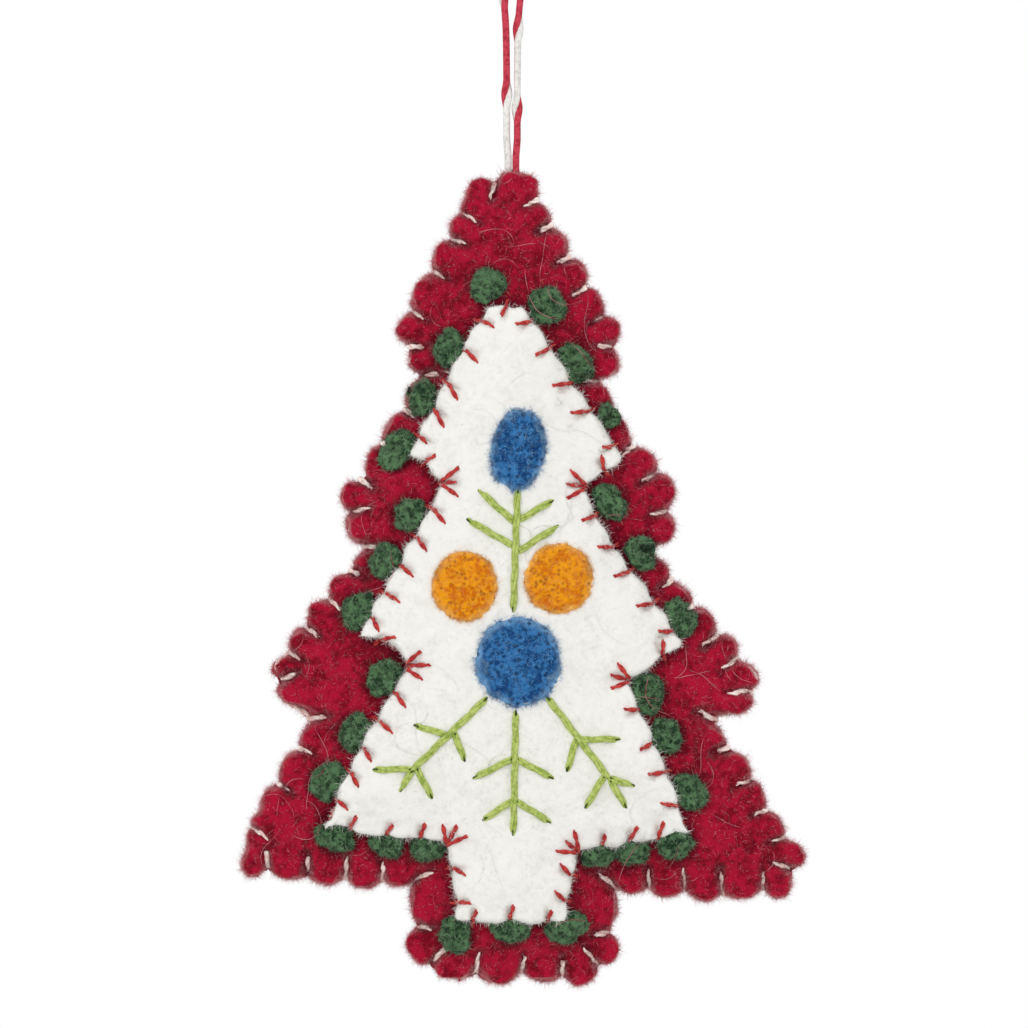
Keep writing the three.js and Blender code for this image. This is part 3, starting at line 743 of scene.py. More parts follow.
def swell(piece, side, look, held):
    # cloth pressure inside the felt, with the stitches pinned; the face on the given side keeps its swelling
    rest = readPoints(piece)
    normals = readNormals(piece)
    cloth = piece.modifiers.new("swell", "CLOTH")
    cloth.settings.use_pressure = True
    cloth.settings.uniform_pressure_force = look["pressure"]
    cloth.settings.quality = clothSet["quality"]
    cloth.settings.vertex_group_mass = weightGroup(piece, held, clothSet["leastPin"])
    cloth.settings.effector_weights.gravity = 0
    cloth.collision_settings.use_collision = False
    cloth.point_cache.frame_start = 1
    cloth.point_cache.frame_end = look["frames"]
    for step in range(1, look["frames"] + 1):
        scene.frame_set(step)
    select(piece)
    bpy.ops.object.modifier_apply(modifier="swell")
    scene.frame_set(1)
    move = readPoints(piece) - rest
    length = np.linalg.norm(move, axis=1)
    move *= (np.minimum(length, look["cap"] * mm) / np.maximum(length, 1e-9))[:, None]
    move *= ramp(side * normals[:, 1], *clothSet["keptTurn"])[:, None]
    writePoints(piece, rest + move)
    piece.vertex_groups.clear()
    most = float(np.linalg.norm(move, axis=1).max()) / mm
    print(" ", piece.name, "swelled by up to", round(most, 2), "mm")


def lumps(piece, sizes):
    # felted unevenness, pushed along the normals: size and strength of each kind
    for size, strength in sizes:
        texture = bpy.data.textures.new(piece.name + "Lumps", "CLOUDS")
        texture.noise_scale = size * mm
        texture.noise_depth = 2
        texture.noise_basis = "ORIGINAL_PERLIN"
        texture.contrast = 1.4
        applyModifier(piece, "DISPLACE", texture=texture, texture_coords="LOCAL", strength=strength * mm,
                      mid_level=0.5)


def refine(piece, rounds):
    applyModifier(piece, "SMOOTH", factor=smoothing["factor"], iterations=rounds)
    applyModifier(piece, "SUBSURF", levels=1, render_levels=1)
    bpy.ops.object.shade_smooth()


def remesh(piece, voxel):
    select(piece)
    piece.data.remesh_voxel_size = voxel * mm
    bpy.ops.object.voxel_remesh()


def softBlank(name, node, side, look, sewing, corners, stitches):
    # a remeshed copy of a solid, swollen between its stitches, with a rounded rim
    piece = copySolid(name, node)
    remesh(piece, look["voxel"])
    held = stitchPull(readPoints(piece), stitches, sewing["leg"] * mm, look["held"] * mm)
    swell(piece, side, look, held)
    refine(piece, look["smoothing"])
    weight = 1 - rampMm(rimPlace(readPoints(piece), corners)[0], look["ease"])
    applyModifier(piece, "SMOOTH", factor=smoothing["factor"], iterations=look["rimRounds"],
                  vertex_group=weightGroup(piece, weight, smoothing["leastRim"]))
    piece.vertex_groups.clear()
    return piece


lobeWave = (1.7, 1.9)


def shapeRim(points, side, outer, place, look, sewing, stitches):
    # grooves under the stitches and lobes between them, with the rim pushed in or out; gives the grooves
    depth, nearest, out = place
    lobe = lobeRise(nearest, stitches, sewing["pitch"] * mm / 2)
    groove = stitchPull(points, stitches, sewing["leg"] * mm * look["grooveLeg"], look["groove"] * mm)
    rim = 1 - rampMm(depth, look["rim"])
    wave = np.sin(points[:, 0] / (lobeWave[0] * mm) + side) * np.sin(points[:, 2] / (lobeWave[1] * mm))
    lobeOut = look["lobeOut"] * (1 + look["uneven"] * wave) * lobe
    push = rim * ((lobeOut - look["stitchIn"] * (1 - lobe)) * mm + nudged(points, look["nudges"]))
    points[:, 1] -= side * outer * groove * look["grooveDeep"] * mm
    points[:, 1] += side * outer * rim * (look["lobeUp"] * lobe - look["stitchDown"] * (1 - lobe)) * mm
    points[:, 0] += out[:, 0] * push
    points[:, 2] += out[:, 1] * push
    return groove


redBody = {
    "voxel": 0.9, "pressure": 24, "frames": 20, "cap": 1.6, "held": 1.0, "smoothing": 2,
    "ease": (0.8, 2.6), "rimRounds": 10, "rim": (0.0, 3.4), "outer": (0.3, 1.6),
    "lumps": [(6.5, 1.5), (2.2, 0.7)], "groove": 0.62, "grooveDeep": 0.95, "grooveLeg": 1.25,
    # painted shade in the creases: strength, width, and length as a multiple of the stitch's leg
    "creaseShade": 0.75, "creaseWide": 0.7, "creaseLeg": 1.5,
    "lobeOut": 0.5, "uneven": 0.5, "stitchIn": 0.55, "lobeUp": 0.8, "stitchDown": 0.8,
    # the panels meet between the stitches, near the rim and near the seam
    "closed": 1.0, "meetDepth": (1.0, 3.0), "meetAway": (0.8, 2.4), "overlap": 0.06,
    # painted light on the rim where it turns sideways: strength, depth and turn
    "paintedRimLight": 0.75, "rimLightDepth": (0.5, 1.8), "rimLightTurn": (0.15, 0.75),
    # places where the hand-cut rim lies further out or in: x, depth, reach, push
    "nudges": [
        (-4.6, 1.6, 2.6, -0.9), (-8.6, 6.4, 2.6, -0.7), (5, 6, 4, -1.2), (9, 12, 4, -0.8), (13.5, 20, 4, -0.6),
        (-17, 26.5, 3.5, -0.3), (-19, 39.5, 4, -0.8), (19, 42, 4, -0.8), (-27, 54, 3, 0.8),
        (-24, 46.5, 4, -1.0), (-25, 61, 3, -0.9), (-37.5, 78, 2.5, -0.8), (-34.5, 86.5, 4, -0.8),
        (-38, 95, 7, -0.8), (28, 66.3, 3, -0.9), (33.5, 87.5, 3, -1.0), (43.5, 103.5, 5, -1.0),
        (30, 114, 11, 0.8), (24, 62, 4, -1.1), (-38, 82.5, 3, 1.0), (39.5, 83.5, 3, 0.9), (45.5, 110.5, 3, 1.0),
        (-26, 112.4, 10, 0.7), (-13, 125.4, 4, 1.8), (-4, 128, 6, 0.6), (14, 126.5, 3, 1.0)],
    "tuft": {"x": -0.9, "wide": 1.7, "foot": 5, "tip": 1, "up": 2.0},
}


def redPanel(name, node, side):
    # side is -1 for the front and 1 for the back
    piece = softBlank(name, node, side, redBody, edgeSewing, seam, seamStitches)
    points = readPoints(piece)
    place = rimPlace(points, seam)
    depth = place[0]
    away = side * points[:, 1]
    outer = rampMm(away, redBody["outer"])
    inner = (1 - rampMm(depth, redBody["meetDepth"])) * (1 - rampMm(away, redBody["meetAway"]))
    points[:, 1] = side * np.maximum(away - inner * redBody["closed"] * mm, -redBody["overlap"] * mm)
    tuft = redBody["tuft"]
    rise = np.exp(-((points[:, 0] / mm - tuft["x"]) / tuft["wide"]) ** 2)
    rise *= rampMm(points[:, 2], (feltTop - tuft["foot"], feltTop - tuft["tip"]))
    shapeRim(points, side, outer, place, redBody, edgeSewing, seamStitches)
    points[:, 2] += tuft["up"] * rise * mm
    writePoints(piece, points)
    lumps(piece, redBody["lumps"])
    # painted shade in the creases under the stitches
    leg = edgeSewing["leg"] * mm * redBody["creaseLeg"]
    creaseShade = stitchPull(points, seamStitches, leg, redBody["creaseWide"] * mm)
    writeShade(piece, "paintedShade", redBody["creaseShade"] * creaseShade * outer)
    # painted light on the rim where the felt turns sideways, fading inwards
    sideways = 1 - ramp(np.abs(readNormals(piece)[:, 1]), *redBody["rimLightTurn"])
    writeShade(piece, "rim", redBody["paintedRimLight"] * sideways * (1 - rampMm(depth, redBody["rimLightDepth"])))
    piece.data.materials.append(materials["redFelt"])
    joinTree(piece, "red_felt", node)
    print(name, "made:", len(piece.data.polygons), "faces")
    return piece


redFront = redPanel("red_front_felt", "red_front_panel", -1)
redBack = redPanel("red_back_felt", "red_back_panel", 1)

fillWool = {"voxel": 1.4, "smoothing": 3, "lumps": [(4, 0.5)]}
fill = copySolid("stuffing_wool", "wool_stuffing")
remesh(fill, fillWool["voxel"])
refine(fill, fillWool["smoothing"])
lumps(fill, fillWool["lumps"])
fill.data.materials.append(materials["fillWool"])
joinTree(fill, "stuffing", "wool_stuffing")
print("stuffing made")


# White tree, laid on the front and drawn down at its stitches

whiteFelt = {
    "voxel": 0.8, "pressure": 16, "frames": 20, "cap": 0.8, "held": 0.8, "smoothing": 3,
    "ease": (0.6, 2.2), "rimRounds": 8, "rim": (0.2, 2.6), "outerTurn": (0.0, 0.6),
    "lumps": [(6, 0.9), (2.0, 0.4)], "groove": 0.5, "grooveDeep": 0.45, "grooveLeg": 0.8, "grooveShade": 0.35,
    "lobeOut": 0.35, "uneven": 0.0, "stitchIn": 0.1, "lobeUp": 0.1, "stitchDown": 0.3,
    "nudges": [
        (-19.5, 77, 3.5, -1.8), (-15, 47.2, 2.5, -0.9), (17, 60, 8, -0.9), (-29, 103.5, 4, -1.3),
        (27, 104, 3, -0.7), (-1.2, 22, 4, -0.8), (-1.4, 22, 1.3, 0.9), (9.3, 115, 3, -0.5),
        (-9.4, 114, 4, -0.6)],
}

white = softBlank("white_felt_tree", "white_tree", -1, whiteFelt, whiteSewing, whiteRim, whiteStitches)
points = readPoints(white)
outer = ramp(-readNormals(white)[:, 1], *whiteFelt["outerTurn"])
groove = shapeRim(points, -1, outer, rimPlace(points, whiteRim), whiteFelt, whiteSewing, whiteStitches)
writePoints(white, points)
lumps(white, whiteFelt["lumps"])
# painted shade in the grooves under the stitches
writeShade(white, "paintedShade", whiteFelt["grooveShade"] * groove * outer)
white.data.materials.append(materials["whiteFelt"])
joinTree(white, "white_felt", "white_tree")
print("white tree made:", len(white.data.polygons), "faces")


# Where the felt's surface lies, for what is laid on it

rayFrom = {"far": 0.06, "near": 0.003, "rim": 0.006}


def skinOf(piece):
    faces = [tuple(face.vertices) for face in piece.data.polygons]
    return BVHTree.FromPolygons([tuple(point) for point in readPoints(piece)], faces)


def surfaceOf(*skins):
    # y of the outermost felt at a place, seen from the front (-1) or the back (1)
    def height(x, z, side):
        found = []
        for skin in skins:
            hit = skin.ray_cast(Vector((x, side * rayFrom["far"], z)), Vector((0, -side, 0)))
            if hit[0]:
                found.append(hit[0].y)
        if found:
            return min(found) if side < 0 else max(found)
        return skins[0].find_nearest(Vector((x, side * rayFrom["near"], z)))[0].y
    return height


frontSkin, backSkin, whiteSkin = skinOf(redFront), skinOf(redBack), skinOf(white)
redHeight = surfaceOf(frontSkin, backSkin)
frontHeight = surfaceOf(frontSkin, whiteSkin)


# Green felt balls, each its own lump of wool

ballWool = {
    "level": 4, "along": (1.05, 1.3), "across": 0.9, "tall": 1.35, "sink": 0.8, "turn": 0.25, "bulge": 0.8,
    "lumps": 1.5,
    # how far a ball reaches out from under a sloping or a level edge; the first two lie clear of it
    "slopeOut": 4.9, "levelOut": 3.7, "levelBelow": 0.3, "clear": 2, "edgeShade": 0.6, "edgeTurn": (0.1, 0.8),
}
# large and small lumps of wool: their size, and their share of a piece's strength
lumpSizes = [(2.2, 1), (0.9, 0.55)]


def nearestOnRim(corners, place):
    # the nearest place of an outline, its distance and the way of its edge
    best = None
    for i, corner in enumerate(corners):
        edge = corners[(i + 1) % len(corners)] - corner
        share = min(max((place - corner).dot(edge) / edge.length_squared, 0), 1)
        point = corner + edge * share
        if best is None or (place - point).length < best[1]:
            best = (point, (place - point).length, edge.normalized())
    return best


def woolLump(name, radii, centre, turn, look):
    # an ico sphere with an uneven, felted skin, flattened to its radii; a large bulge thins its edge
    deselectAll()
    bpy.ops.mesh.primitive_ico_sphere_add(subdivisions=look["level"], radius=1, location=(0, 0, 0))
    piece = bpy.context.object
    piece.name = name
    piece.data.name = name
    bpy.ops.object.shade_smooth()
    points = readPoints(piece)
    points[:, 1] = np.abs(points[:, 1]) ** look["bulge"] * np.sign(points[:, 1])
    points = points * np.array(radii) @ np.array(Matrix.Rotation(turn, 3, "Y")).T + np.array(centre)
    writePoints(piece, points)
    lumps(piece, [(size, look["lumps"] * share) for size, share in lumpSizes])
    return piece


def layOn(piece, height):
    # the piece bends with the felt below it
    points = readPoints(piece)
    points[:, 1] += [height(x, z, -1) for x, z in points[:, [0, 2]]]
    writePoints(piece, points)


random = np.random.default_rng(12)
balls = []
ballPlaces = []
for number, node in enumerate(sorted(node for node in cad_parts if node.startswith("green_ball_")), 1):
    low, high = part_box(node)
    place = Vector(((low.x + high.x) / 2, (low.z + high.z) / 2))
    size = (high.x - low.x + high.z - low.z) / 4
    point, distance, edge = nearestOnRim(whiteRim, place)
    isClear = number <= ballWool["clear"]
    across = size * (1 if isClear else ballWool["across"])
    reach = ballWool["levelOut" if abs(edge.y) < ballWool["levelBelow"] else "slopeOut"] * mm
    if not isClear:
        place = place + (point - place).normalized() * max(distance + across - reach, 0)
    radii = (size * random.uniform(*ballWool["along"]), ballWool["tall"] * mm, across)
    centre = (place.x, ballWool["sink"] * mm - radii[1], place.y)
    turn = math.atan2(-edge.y, edge.x) + random.uniform(-ballWool["turn"], ballWool["turn"])
    piece = woolLump("green_wool_%02d" % number, radii, centre, turn, ballWool)
    # painted shade on the ball's sides, darker where they turn away from the front
    facing = ramp(-readNormals(piece)[:, 1], *ballWool["edgeTurn"])
    writeShade(piece, "paintedShade", ballWool["edgeShade"] * (1 - facing))
    layOn(piece, redHeight)
    piece.data.materials.append(materials["greenWool"])
    joinTree(piece, "green_wool", node)
    balls.append(piece)
    ballPlaces.append((place, size))
print("green balls made:", len(balls))


# Dots, needle felted on the white tree: solid, finish, slot, radii, turn, shift

dotWool = {
    "blue_oval": ("blue_oval_dot", "blueWool", "blue_wool", (4.3, 6.6), 0.157, (-0.2, -0.5)),
    "orange_left": ("orange_dot_left", "orangeWool", "orange_wool", (5.2, 5.6), 0.0, (0.3, -0.2)),
    "orange_right": ("orange_dot_right", "orangeWool", "orange_wool", (5.5, 5.6), 0.4, (-0.3, -0.3)),
    "blue_round": ("blue_round_dot", "blueWool", "blue_wool", (6.8, 7.1), 0.0, (0.3, -0.4)),
}
dotRise = {"level": 5, "thick": 1.2, "sink": 0.12, "lumps": 0.5, "bulge": 1.4, "paleEdge": 0.9,
           "paleRise": (0.15, 0.5)}
dots = {}
for name, (node, finish, slot, (wide, tall), turn, (beside, above)) in dotWool.items():
    low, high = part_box(node)
    middlePlace = (low + high) / 2
    centre = (middlePlace.x + beside * mm, dotRise["sink"] * mm, middlePlace.z + above * mm)
    piece = woolLump(name, (wide * mm, dotRise["thick"] * mm, tall * mm), centre, turn, dotRise)
    rise = (centre[1] - readPoints(piece)[:, 1]) / (dotRise["thick"] * mm)
    writeShade(piece, "rim", dotRise["paleEdge"] * (1 - ramp(rise, *dotRise["paleRise"])))
    layOn(piece, frontHeight)
    piece.data.materials.append(materials[finish])
    joinTree(piece, slot, node)
    dots[name] = piece
print("dots made:", len(dots))


# Edge stitches: over the rim from the front to the back, with the thread running on along the seam

def foot(stitch, inward, aside=0.0):
    return stitch["point"] - stitch["normal"] * inward + tangentOf(stitch) * aside


def rimReach(stop, y):
    # how far the felt reaches out beyond a place of the seam, at a depth of the body
    normal = Vector((stop["normal"].x, 0, stop["normal"].y))
    base = Vector((stop["point"].x, y * mm, stop["point"].y))
    skin = frontSkin if y < 0 else backSkin
    hit = skin.ray_cast(base + normal * rayFrom["rim"], -normal, 2 * rayFrom["rim"])
    return (hit[0] - base).dot(normal) if hit[0] else 0.0


def stitchLine(stitch, stops, height, side):
    # places of a thread on the felt; each stop says how far inwards, how far aside and how high
    line = []
    for inward, aside, lift in stops:
        place = foot(stitch, inward, aside)
        line.append((place.x, height(place.x, place.y, side) + side * lift * mm, place.y))
    return line


def sewnPlies(points, step, sewing):
    line = evenRoute(points, step)
    turns = np.linspace(0, len(line) * step * sewing["twist"], len(line))
    return plyRoutes(line, sewing["offset"], turns, (0, 0))


def seamLeg(stitch, side, random):
    leg = edgeSewing["leg"] * mm * random.uniform(*edgeSewing["legRange"])
    slant = random.uniform(-edgeSewing["slant"], edgeSewing["slant"]) * mm
    sunk = random.uniform(0.0, edgeSewing["sunk"])
    stops = [(leg * share, slant * share, lift - sunk) for share, lift in edgeSewing["legStops"]]
    return stitchLine(stitch, stops, redHeight, side)


random = np.random.default_rng(4)
routes = []
for stitch in seamStitches:
    front = seamLeg(stitch, -1, random)
    back = seamLeg(stitch, 1, random)
    rimPlaces = []
    for y in edgeSewing["roundRim"]:
        place = foot(stitch, -rimReach(stitch, y) - edgeSewing["offRim"] * mm)
        rimPlaces.append((place.x, y * mm, place.y))
    routes += sewnPlies(front + rimPlaces + back[::-1], stitchStep, edgeSewing)
stops = []
for i, stitch in enumerate(seamStitches):
    corner = cornerBetween(seam, seamStitches[i - 1], stitch) if i else None
    stops += [corner, stitch] if corner else [stitch]
run = []
for stop in stops:
    place = foot(stop, -0.5 * (rimReach(stop, -edgeSewing["runAt"]) + rimReach(stop, edgeSewing["runAt"])))
    run.append((place.x, 0.0, place.y))
routes += sewnPlies(run, runStep, edgeSewing)
edgeThread = threadPiece("edge_stitches", routes, edgeSewing["ply"], ["paleThread"], ends=edgeSewing["ends"])
joinTree(edgeThread, "pale_thread", "edge_thread")
print("edge stitches made:", len(edgeThread.data.polygons), "faces")


# Red sewing stitches round the white tree

def whitePush(stop):
    # how far the white rim is pushed out at a place of its outline
    return nudged(np.array([[stop["point"].x, 0, stop["point"].y]]), whiteFelt["nudges"])[0]


random = np.random.default_rng(9)
routes = []
for stitch in whiteStitches + fanned(whiteStitches):
    stitch["point"] = stitch["point"] + stitch["normal"] * whitePush(stitch)
    cornerAway = min((stitch["point"] - corner).length for corner in whiteRim)
    isShort = cornerAway < whiteSewing["nearCorner"] * mm and not stitch["notch"]
    leg = whiteSewing["leg"] * mm * random.uniform(*whiteSewing["legRange"])
    leg *= whiteSewing["cornerLeg"] if isShort else 1
    slant = 0.0 if stitch["notch"] else leg * random.uniform(*whiteSewing["slantRange"])
    stops = [(leg * share, slant * share, lift) for share, lift in whiteSewing["legStops"]]
    stops += [(-beyond * mm, 0.0, lift) for beyond, lift in whiteSewing["pastRim"]]
    routes += sewnPlies(stitchLine(stitch, stops, frontHeight, -1), stitchStep, whiteSewing)
stops = []
for i, stitch in enumerate(whiteStitches):
    corner = cornerBetween(whiteRim, whiteStitches[i - 1], stitch)
    if corner:
        inset = whitePush(corner) - whiteSewing["cornerIn"] * mm
        stops.append({**corner, "point": corner["point"] + corner["normal"] * inset})
    stops.append(stitch)
run = []
for stop in stops + stops[:1]:
    run += stitchLine(stop, [(whiteSewing["runIn"] * mm, 0.0, 0.0)], redHeight, -1)
routes += sewnPlies(run, runStep, whiteSewing)
redSewing = threadPiece("white_tree_stitches", routes, whiteSewing["ply"], ["redThread"],
                        ends=whiteSewing["ends"])
joinTree(redSewing, "red_thread", "sewing_thread")
print("white tree's stitches made:", len(redSewing.data.polygons), "faces")


# Sprigs in straight stitch, each end dipping into the white felt: from x and depth to x and depth

sprigThread = {"radius": 0.32, "offset": 0.28, "twist": 0.5, "ends": 0.7, "step": 0.35, "places": 1.2,
               "lift": 0.18, "dip": 0.55, "dipLength": 0.7,
               # the dark ends, painted shade where the thread goes into the felt: places along the thread's
               # direction, height over its middle
               "endPlaces": (-0.75, -0.4, 0.0, 0.2), "endLift": 0.28}
sprigs = {
    "top": [(0.9, 50.8, 0.2, 70.0), (0.7, 56.3, -5.2, 51), (0.6, 60, -7, 55.6), (0.7, 55.9, 6.4, 52.6),
            (0.6, 60.9, 7.2, 56.6)],
    "left": [(-4.0, 83.8, -16, 95.4), (-10, 89.7, -15.3, 88.1), (-9.2, 89, -7.5, 93.6),
             (-15.6, 95, -21.8, 95.1), (-15.6, 95, -17.6, 98.4), (-15.2, 94.6, -12.7, 99.5)],
    "centre": [(0.6, 85.9, 0.2, 105.3), (0.4, 93.2, -6, 96.4), (0.4, 93.2, 6.4, 96.4), (0.3, 99.8, -4.5, 103),
               (0.3, 99.8, 6, 103.4)],
    "right": [(5.6, 83.7, 15.6, 96.8), (10.6, 90.3, 16.9, 90.3), (10.3, 89.9, 8.7, 95.2),
              (15.2, 96.3, 19.2, 97.6), (15.3, 96.4, 18, 101), (14.8, 95.8, 11.6, 101)],
}
for name, lines in sprigs.items():
    routes = []
    for fromX, fromDepth, toX, toDepth in lines:
        a = np.array((fromX, feltTop - fromDepth)) * mm
        b = np.array((toX, feltTop - toDepth)) * mm
        length = float(np.linalg.norm(b - a)) / mm
        points = []
        for share in np.linspace(0, 1, max(int(length / sprigThread["places"]), 4)):
            x, z = a + (b - a) * share
            nearEnd = ramp(abs(share - 0.5) * length, length / 2 - sprigThread["dipLength"], length / 2)
            dip = sprigThread["dip"] * nearEnd * mm
            points.append((x, frontHeight(x, z, -1) - sprigThread["lift"] * mm + dip, z))
        line = evenRoute(points, sprigThread["step"])
        turns = np.linspace(0, length * sprigThread["twist"], len(line))
        routes += plyRoutes(line, sprigThread["offset"], turns, (0, 0, 0))
        # a short dark piece over each end: painted shade where the thread dips into the felt
        lift = np.array((0, -sprigThread["endLift"], 0)) * mm
        for end, into in [(line[0], line[0] - line[3]), (line[-1], line[-1] - line[-4])]:
            ahead = into / np.linalg.norm(into)
            shadedEnd = [end + ahead * step * mm + lift for step in sprigThread["endPlaces"]]
            routes.append((np.array(shadedEnd), 1))
    piece = threadPiece("sprig_" + name + "_thread", routes, sprigThread["radius"], ["leafThread", "leafEnd"],
                        ends=sprigThread["ends"])
    joinTree(piece, "green_thread", "sprig_" + name)
print("sprigs made:", len(sprigs))


# Shade on the red felt beside the white tree and round the balls: strength and reach of each

contactShade = {"white": (0.7, 1.6), "ball": (0.75, 1.0), "front": (1.0, 3.0)}


def shadeNear(away, strength, reach):
    return strength * np.exp(-(np.maximum(away, 0) / (reach * mm)) ** 2)


points = readPoints(redFront)
shade = shadeNear(-rimPlace(points, whiteRim)[0], *contactShade["white"])
for place, size in ballPlaces:
    away = np.linalg.norm(points[:, [0, 2]] - np.array(place), axis=1) - size
    shade = np.maximum(shade, shadeNear(away, *contactShade["ball"]))
shade *= rampMm(-points[:, 1], contactShade["front"])
writeShade(redFront, "paintedShade", np.maximum(readShade(redFront, "paintedShade"), shade))


# Fuzz: fine fibres standing out of the felt

# count, shortest and longest fibre, half width, how straight it stands, curl, whether it has a bend
fuzzLooks = {
    "redDown": (44000, 0.25, 0.9, 0.03, 0.9, 0.3, False),
    "redFuzz": (14000, 0.5, 2.1, 0.028, 0.7, 0.8, True),
    "redHaze": (16000, 0.5, 1.7, 0.024, 1.1, 0.3, False),
    "whiteDown": (30000, 0.2, 0.8, 0.03, 0.7, 0.3, False),
    "whiteHalo": (6000, 0.4, 1.7, 0.032, 0.8, 0.6, True),
    "ballDown": (22000, 0.2, 0.9, 0.036, 0.8, 0.3, False),
    "ballFuzz": (3500, 0.5, 1.8, 0.034, 0.7, 0.7, True),
    "dotDown": (9000, 0.2, 0.7, 0.03, 0.7, 0.3, False),
    "blueHalo": (4600, 0.4, 1.5, 0.024, 0.9, 0.5, True),
    "orangeHalo": (2600, 0.4, 1.1, 0.02, 0.9, 0.5, True),
}
fibreForm = {"lengthBias": 2.5, "root": 0.08, "middleWidth": 0.8, "askew": 0.37}


def growFuzz(name, pieces, look, finish, slot, seed, wanted):
    random = np.random.default_rng(seed)
    count, shortest, longest, halfWidth, stand, curl, isBent = fuzzLooks[look]
    shares, corners, ways = [], [], []
    for piece in pieces:
        piece.data.calc_loop_triangles()
        ids = np.zeros(len(piece.data.loop_triangles) * 3, int)
        piece.data.loop_triangles.foreach_get("vertices", ids)
        tri = readPoints(piece)[ids.reshape(-1, 3)]
        cross = np.cross(tri[:, 1] - tri[:, 0], tri[:, 2] - tri[:, 0])
        normal = unit(cross)
        shares.append(np.linalg.norm(cross, axis=1) * wanted(tri.mean(axis=1), normal))
        corners.append(tri)
        ways.append(normal)
    shares = np.concatenate(shares)
    picks = random.choice(len(shares), count, p=shares / shares.sum())
    tri = np.concatenate(corners)[picks]
    normal = np.concatenate(ways)[picks]
    u, v = random.random((2, count))
    flip = u + v > 1
    u[flip], v[flip] = 1 - u[flip], 1 - v[flip]
    start = tri[:, 0] + u[:, None] * (tri[:, 1] - tri[:, 0]) + v[:, None] * (tri[:, 2] - tri[:, 0])
    spread = unit(random.normal(size=(count, 3)))
    lean = unit(normal * stand + spread)
    bias = random.random(count) ** fibreForm["lengthBias"]
    length = (shortest + (longest - shortest) * bias)[:, None] * mm
    later = unit(lean + random.normal(size=(count, 3)) * curl)
    middle = start + lean * length * 0.5
    tip = middle + later * length * 0.5
    start = start - normal * fibreForm["root"] * mm
    sideways = unit(np.cross(lean, spread + fibreForm["askew"]))
    other = np.cross(lean, sideways)
    # three sides, with a bend in the middle where the fibre is long
    rings = [(start, 1.0), (middle, fibreForm["middleWidth"])] if isBent else [(start, 1.0)]
    places = []
    for centre, width in rings:
        for angle in (2 * math.pi * k / 3 for k in range(3)):
            around = math.cos(angle) * sideways + math.sin(angle) * other
            places.append(centre + around * halfWidth * width * mm)
    fibres = np.stack(places + [tip], axis=1)
    last = len(places)
    pattern = [(0, 2, 1)] + [(last - 3 + k, last - 3 + (k + 1) % 3, last) for k in range(3)]
    if isBent:
        for k in range(3):
            pattern += [(k, (k + 1) % 3, 3 + (k + 1) % 3), (k, 3 + (k + 1) % 3, 3 + k)]
    faces = (np.array(pattern)[None] + (last + 1) * np.arange(count)[:, None, None]).reshape(-1, 3)
    mesh = bpy.data.meshes.new(name)
    mesh.from_pydata(fibres.reshape(-1, 3).tolist(), [], faces.tolist())
    mesh.materials.append(materials[finish])
    fuzz = addPiece(name, mesh)
    bpy.ops.object.shade_smooth()
    joinTree(fuzz, slot)
    print(" ", name, count, "fibres,", len(mesh.polygons), "faces")


# which faces grow fibres, by the y of their normals and their place, in millimetres
fuzzFaces = {"outer": -0.45, "outerFrom": 0.6, "rimTurn": (0.25, 0.75), "seamDepth": 0.5, "seamTurn": 0.7,
             "seamFrom": 0.1, "front": 0.35, "rim": (-0.8, 0.3)}


def outerFaces(side, rimShare):
    # the outer face of a panel, with more fibres along its rim
    def wanted(centres, normals):
        shown = side * normals[:, 1] > fuzzFaces["outer"]
        shown &= side * centres[:, 1] > fuzzFaces["outerFrom"] * mm
        return shown * (1 + rimShare * (1 - ramp(np.abs(normals[:, 1]), *fuzzFaces["rimTurn"])))
    return wanted


def seamFaces(side):
    # the turn of the rim, down to the seam; bare at the back where the twine swings past
    def wanted(centres, normals):
        atRim = rimPlace(centres, seam)[0] < fuzzFaces["seamDepth"] * mm
        turned = np.abs(normals[:, 1]) < fuzzFaces["seamTurn"]
        isFar = np.hypot(centres[:, 0], centres[:, 2] - feltTop * mm) > throat["bareBack"] * mm
        return atRim & turned & (side * centres[:, 1] > fuzzFaces["seamFrom"] * mm) & (isFar | (side < 0))
    return wanted


def frontFaces(centres, normals):
    return normals[:, 1] < fuzzFaces["front"]


def rimFaces(centres, normals):
    return (normals[:, 1] > fuzzFaces["rim"][0]) & (normals[:, 1] < fuzzFaces["rim"][1])


for side, piece, name in [(-1, redFront, "red_front"), (1, redBack, "red_back")]:
    growFuzz(name + "_down", [piece], "redDown", "redHair", "red_felt", 21 + side, outerFaces(side, 3.0))
    growFuzz(name + "_fuzz", [piece], "redFuzz", "redHair", "red_felt", 31 + side, outerFaces(side, 2.0))
    growFuzz(name + "_haze", [piece], "redHaze", "redHaze", "red_felt", 51 + side, seamFaces(side))
growFuzz("white_down", [white], "whiteDown", "whiteHair", "white_felt", 23, frontFaces)
growFuzz("white_halo", [white], "whiteHalo", "whiteHair", "white_felt", 28, rimFaces)
growFuzz("green_down", balls, "ballDown", "greenHair", "green_wool", 24, frontFaces)
growFuzz("green_fuzz", balls, "ballFuzz", "greenHair", "green_wool", 27, frontFaces)
blueDots = [dots["blue_oval"], dots["blue_round"]]
orangeDots = [dots["orange_left"], dots["orange_right"]]
growFuzz("blue_down", blueDots, "dotDown", "blueHair", "blue_wool", 25, frontFaces)
growFuzz("orange_down", orangeDots, "dotDown", "orangeHair", "orange_wool", 26, frontFaces)
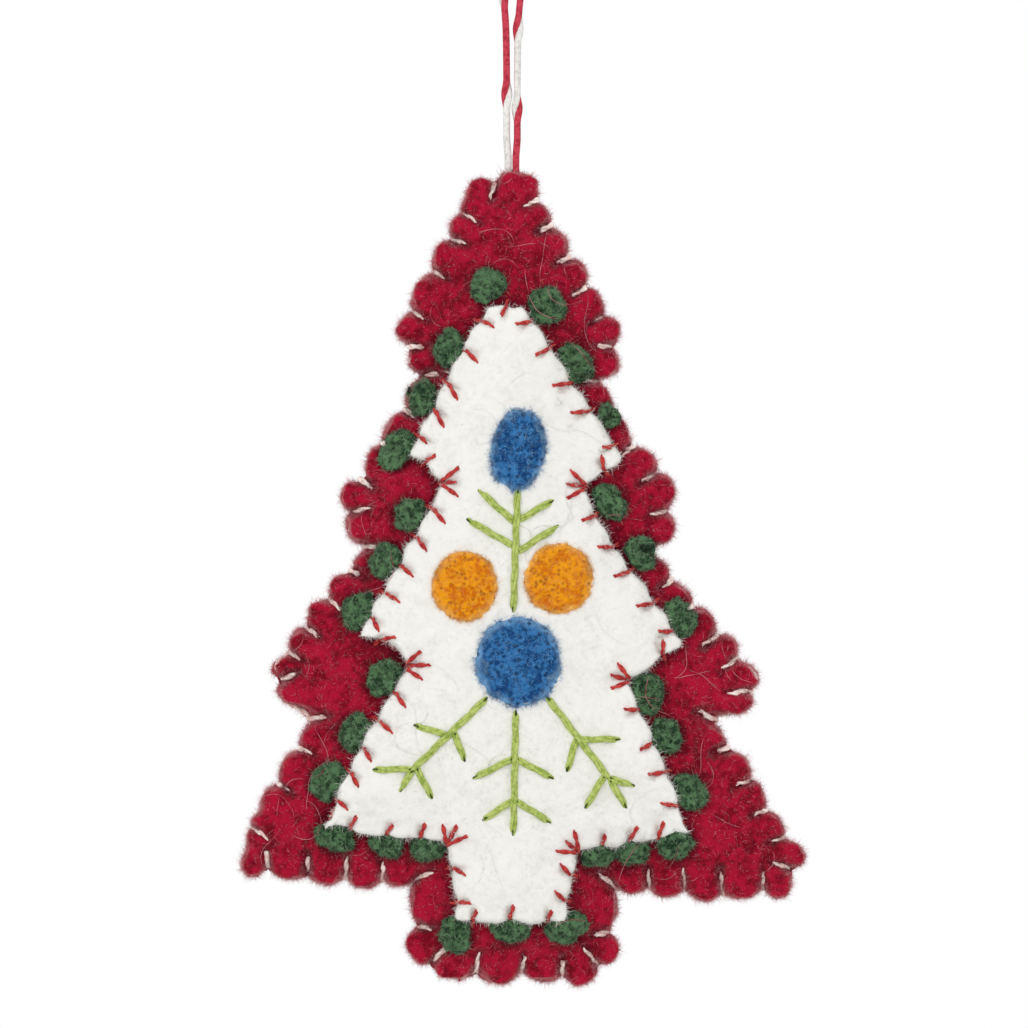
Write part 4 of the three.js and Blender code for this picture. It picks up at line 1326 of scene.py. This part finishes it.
growFuzz("blue_halo", blueDots, "blueHalo", "blueHair", "blue_wool", 29, rimFaces)
growFuzz("orange_halo", orangeDots, "orangeHalo", "orangeHair", "orange_wool", 30, rimFaces)
print("fuzz grown")


# Long stray hairs that curl over the felt

strayLook = {"radius": 0.042, "ends": 0.4, "lift": (0.1, 0.3), "steps": (8, 24), "step": 0.5,
             "evenStep": 0.35, "overRim": 1.2,
             # how much a hair bends at first, keeps of its bend at each step, changes it, and bends at most
             "bend": 0.12, "keep": 0.92, "change": 0.07, "most": 0.24}


def strayHairs(name, count, finish, slot, seed, height, isWanted, side=-1):
    random = np.random.default_rng(seed)
    low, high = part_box("red_front_panel")
    routes = []
    while len(routes) < count:
        place = np.array([random.uniform(low.x, high.x), random.uniform(low.z, high.z)])
        heading = random.uniform(0, 2 * math.pi)
        bend = random.normal() * strayLook["bend"]
        lift = random.uniform(*strayLook["lift"])
        line = []
        for _ in range(int(random.uniform(*strayLook["steps"]))):
            line.append((place[0], height(place[0], place[1], side) + side * lift * mm, place[1]))
            bend = bend * strayLook["keep"] + random.normal() * strayLook["change"]
            bend = np.clip(bend, -strayLook["most"], strayLook["most"])
            heading += bend
            place = place + strayLook["step"] * mm * np.array([math.cos(heading), math.sin(heading)])
        if isWanted(np.array(line)).all():
            routes.append((evenRoute(line[::2], strayLook["evenStep"]), 0))
    hairs = threadPiece(name, routes, strayLook["radius"], [finish], 0, strayLook["ends"])
    joinTree(hairs, slot)
    print(name, "made:", len(hairs.data.polygons), "faces")


def onTree(line):
    return rimPlace(line, seam)[0] > -strayLook["overRim"] * mm


def onWhite(line):
    return rimPlace(line, whiteRim)[0] > 0


def onRed(line):
    return onTree(line) & ~onWhite(line)


anyHeight = surfaceOf(frontSkin, whiteSkin, *[skinOf(ball) for ball in balls])
strayHairs("red_front_hairs", 46, "strayHair", "red_felt", 41, anyHeight, onRed)
strayHairs("red_back_hairs", 46, "strayHair", "red_felt", 42, redHeight, onTree, 1)
strayHairs("white_hairs", 24, "whiteHair", "white_felt", 43, frontHeight, onWhite)
